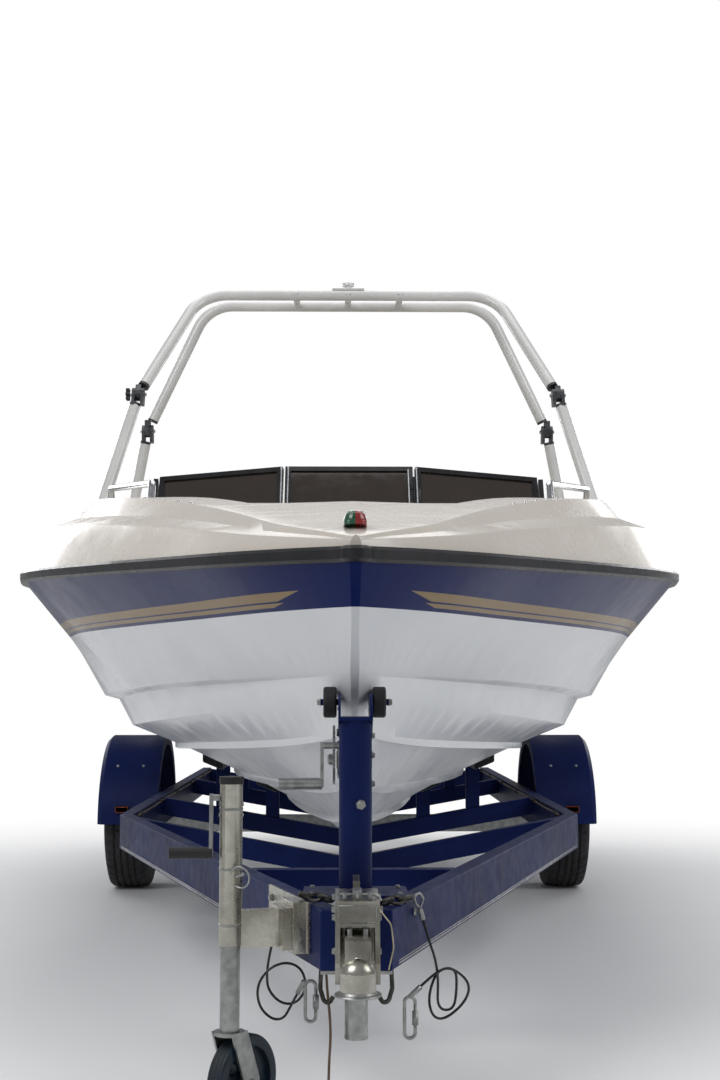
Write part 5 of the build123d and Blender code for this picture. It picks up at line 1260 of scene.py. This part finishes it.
class BOAT_OT_stern_detail(bpy.types.Operator):
    """Adds the fender bolts, seat swivels, cup holders and tail harness"""

    bl_idname = "boat.stern_detail"
    bl_label = "Detail the stern"

    def execute(self, context):
        places = [(side * (1021 + x), a) for side in SIDES for a in (3700, 4300) for x in (-60, 60)]
        spots = [(hit, normal, 0.007) for hit, normal in dropped("fenders", places, 1400) if hit is not None]
        repeated("fender_bolts", "dome", spots, "zinc", ROOT)
        turned("seat_swivels", [
            ([(150, 0), (160, 2), (160, 10), (150, 14), (90, 16), (90, 22)], (side * 480, 3680, 800.3), (0, 0, 1))
            for side in SIDES], "stainless", ROOT)
        rows = []
        for hit, normal in dropped("deck", [(side * 905, a) for side in SIDES for a in (3330, 4700)], 2300):
            if hit is not None and hit.z > 1.5:
                place = tuple(Vector((hit.x, hit.y + 3.1, hit.z + 0.0004)) * 1000)
                rows.append(([(36, -2), (38, 3), (44, 3), (46, 0)], place, normal))
        if rows:
            turned("cup_holders", rows, "stainless", ROOT)
        strip("tail_harness", [[
            (-640, 5806, 430), (-300, 5808, 415), (0, 5808, 418), (300, 5808, 415), (640, 5806, 430)
        ]], 4, "lead_jacket", ROOT, bend_mm=200)
        return {"FINISHED"}


class BOAT_OT_stage(bpy.types.Operator):
    """Sets the floor, the soft studio light, the background and the camera"""

    bl_idname = "boat.stage"
    bl_label = "Set the stage"

    def execute(self, context):
        settings = context.scene.boat_stage
        bm = bmesh.new()
        bmesh.ops.create_grid(bm, x_segments=1, y_segments=1, size=30)
        floor = new_piece("floor", bm)
        floor.location.z = -0.001
        material, tree, place = new_material("studio_floor")
        light = add_node(tree, "ShaderNodeBsdfPrincipled", {
            "Base Color": add_mix(tree, add_noise(tree, place, 900), linear("f7f7f7"), linear("f2f2f3")),
            "Roughness": 0.55,
        })
        reach = add_node(tree, "ShaderNodeVectorMath", {0: place}, operation="LENGTH").outputs["Value"]
        far = add_node(tree, "ShaderNodeMapRange", {
            "Value": reach, "From Min": 2.0, "From Max": 5.4, "To Min": 0.0, "To Max": 1.0,
        }, interpolation_type="SMOOTHSTEP").outputs["Result"]
        glow = add_node(tree, "ShaderNodeEmission", {"Color": (1, 1, 1, 1), "Strength": 1.0})
        seen = add_node(tree, "ShaderNodeLightPath").outputs["Is Camera Ray"]
        faded = add_node(tree, "ShaderNodeMixShader", {
            0: add_math(tree, "MULTIPLY", far, seen), 1: light.outputs[0], 2: glow.outputs[0],
        })
        add_node(tree, "ShaderNodeOutputMaterial", {"Surface": faded.outputs[0]})
        floor.data.materials.append(material)

        world = bpy.data.worlds.new("studio")
        world.use_nodes = True
        context.scene.world = world
        tree = world.node_tree
        tree.nodes.clear()
        path = add_node(tree, "ShaderNodeLightPath")
        seen = add_math(tree, "MAXIMUM", path.outputs["Is Camera Ray"], path.outputs["Is Transmission Ray"])
        white = add_node(tree, "ShaderNodeBackground", {"Color": (1, 1, 1, 1), "Strength": 1.0})
        soft = add_node(tree, "ShaderNodeBackground", {"Color": (0.95, 0.97, 1, 1), "Strength": 0.30})
        mixed = add_node(tree, "ShaderNodeMixShader", {0: seen, 1: soft.outputs[0], 2: white.outputs[0]})
        add_node(tree, "ShaderNodeOutputWorld", {"Surface": mixed.outputs[0]})

        # lamp: place, target, size across, size up, watts
        for place, target, wide, high, power in (
            ((-3.4, -5.2, 4.6), (0, -1.2, 1.0), 3.0, 2.4, 120),
            ((4.2, -3.6, 3.8), (0, -0.8, 1.2), 2.6, 2.6, 75),
            ((0.0, 1.2, 5.4), (0, 0.4, 1.0), 4.0, 6.0, 130),
            ((-4.2, 5.2, 3.6), (0, 1.6, 1.0), 3.0, 2.4, 85),
            ((4.4, 5.4, 3.2), (0, 2.0, 1.0), 2.4, 2.4, 60),
        ):
            lamp = bpy.data.lights.new("softbox", "AREA")
            lamp.shape = "RECTANGLE"
            lamp.size, lamp.size_y, lamp.energy = wide, high, power
            box = linked("softbox", lamp)
            box.location = place
            box.rotation_euler = (Vector(target) - Vector(place)).to_track_quat("-Z", "Y").to_euler()

        camera = bpy.data.cameras.new("camera")
        camera.lens, camera.sensor_width, camera.sensor_fit = settings.lens, 36, "AUTO"
        eye = linked("camera", camera)
        eye.location = (-0.036, -settings.eye_distance, settings.eye_height)
        eye.rotation_euler = (math.pi / 2 + settings.pitch, 0, -settings.yaw)
        context.scene.camera = eye
        context.scene.view_settings.view_transform = "Standard"
        return {"FINISHED"}


class BOAT_PT_panel(bpy.types.Panel):
    bl_label = "Boat"
    bl_idname = "BOAT_PT_panel"
    bl_space_type = "VIEW_3D"
    bl_region_type = "UI"
    bl_category = "Boat"

    def draw(self, context):
        settings = context.scene.boat_stage
        for name in ("lens", "eye_height", "eye_distance", "pitch", "yaw"):
            self.layout.prop(settings, name)
        for operator in OPERATORS:
            self.layout.operator(operator.bl_idname)


OPERATORS = (
    BOAT_OT_stage, BOAT_OT_frame_finish, BOAT_OT_cords, BOAT_OT_wheels, BOAT_OT_trailer_detail,
    BOAT_OT_winch_detail, BOAT_OT_jack_detail, BOAT_OT_coupler_detail, BOAT_OT_tower_detail,
    BOAT_OT_cushions, BOAT_OT_cockpit_detail, BOAT_OT_deck_detail, BOAT_OT_drive_detail,
    BOAT_OT_engine_detail, BOAT_OT_stern_detail,
)
CLASSES = (BoatStageSettings, *OPERATORS, BOAT_PT_panel)


def register():
    for item in CLASSES:
        bpy.utils.register_class(item)
    bpy.types.Scene.boat_stage = bpy.props.PointerProperty(type=BoatStageSettings)


def unregister():
    del bpy.types.Scene.boat_stage
    for item in reversed(CLASSES):
        bpy.utils.unregister_class(item)


def main():
    register()
    for operator in OPERATORS:
        group, name = operator.bl_idname.split(".")
        if getattr(getattr(bpy.ops, group), name)() != {"FINISHED"}:
            raise RuntimeError(f"{operator.bl_idname} didn't finish")


if __name__ == "__main__":
    main()
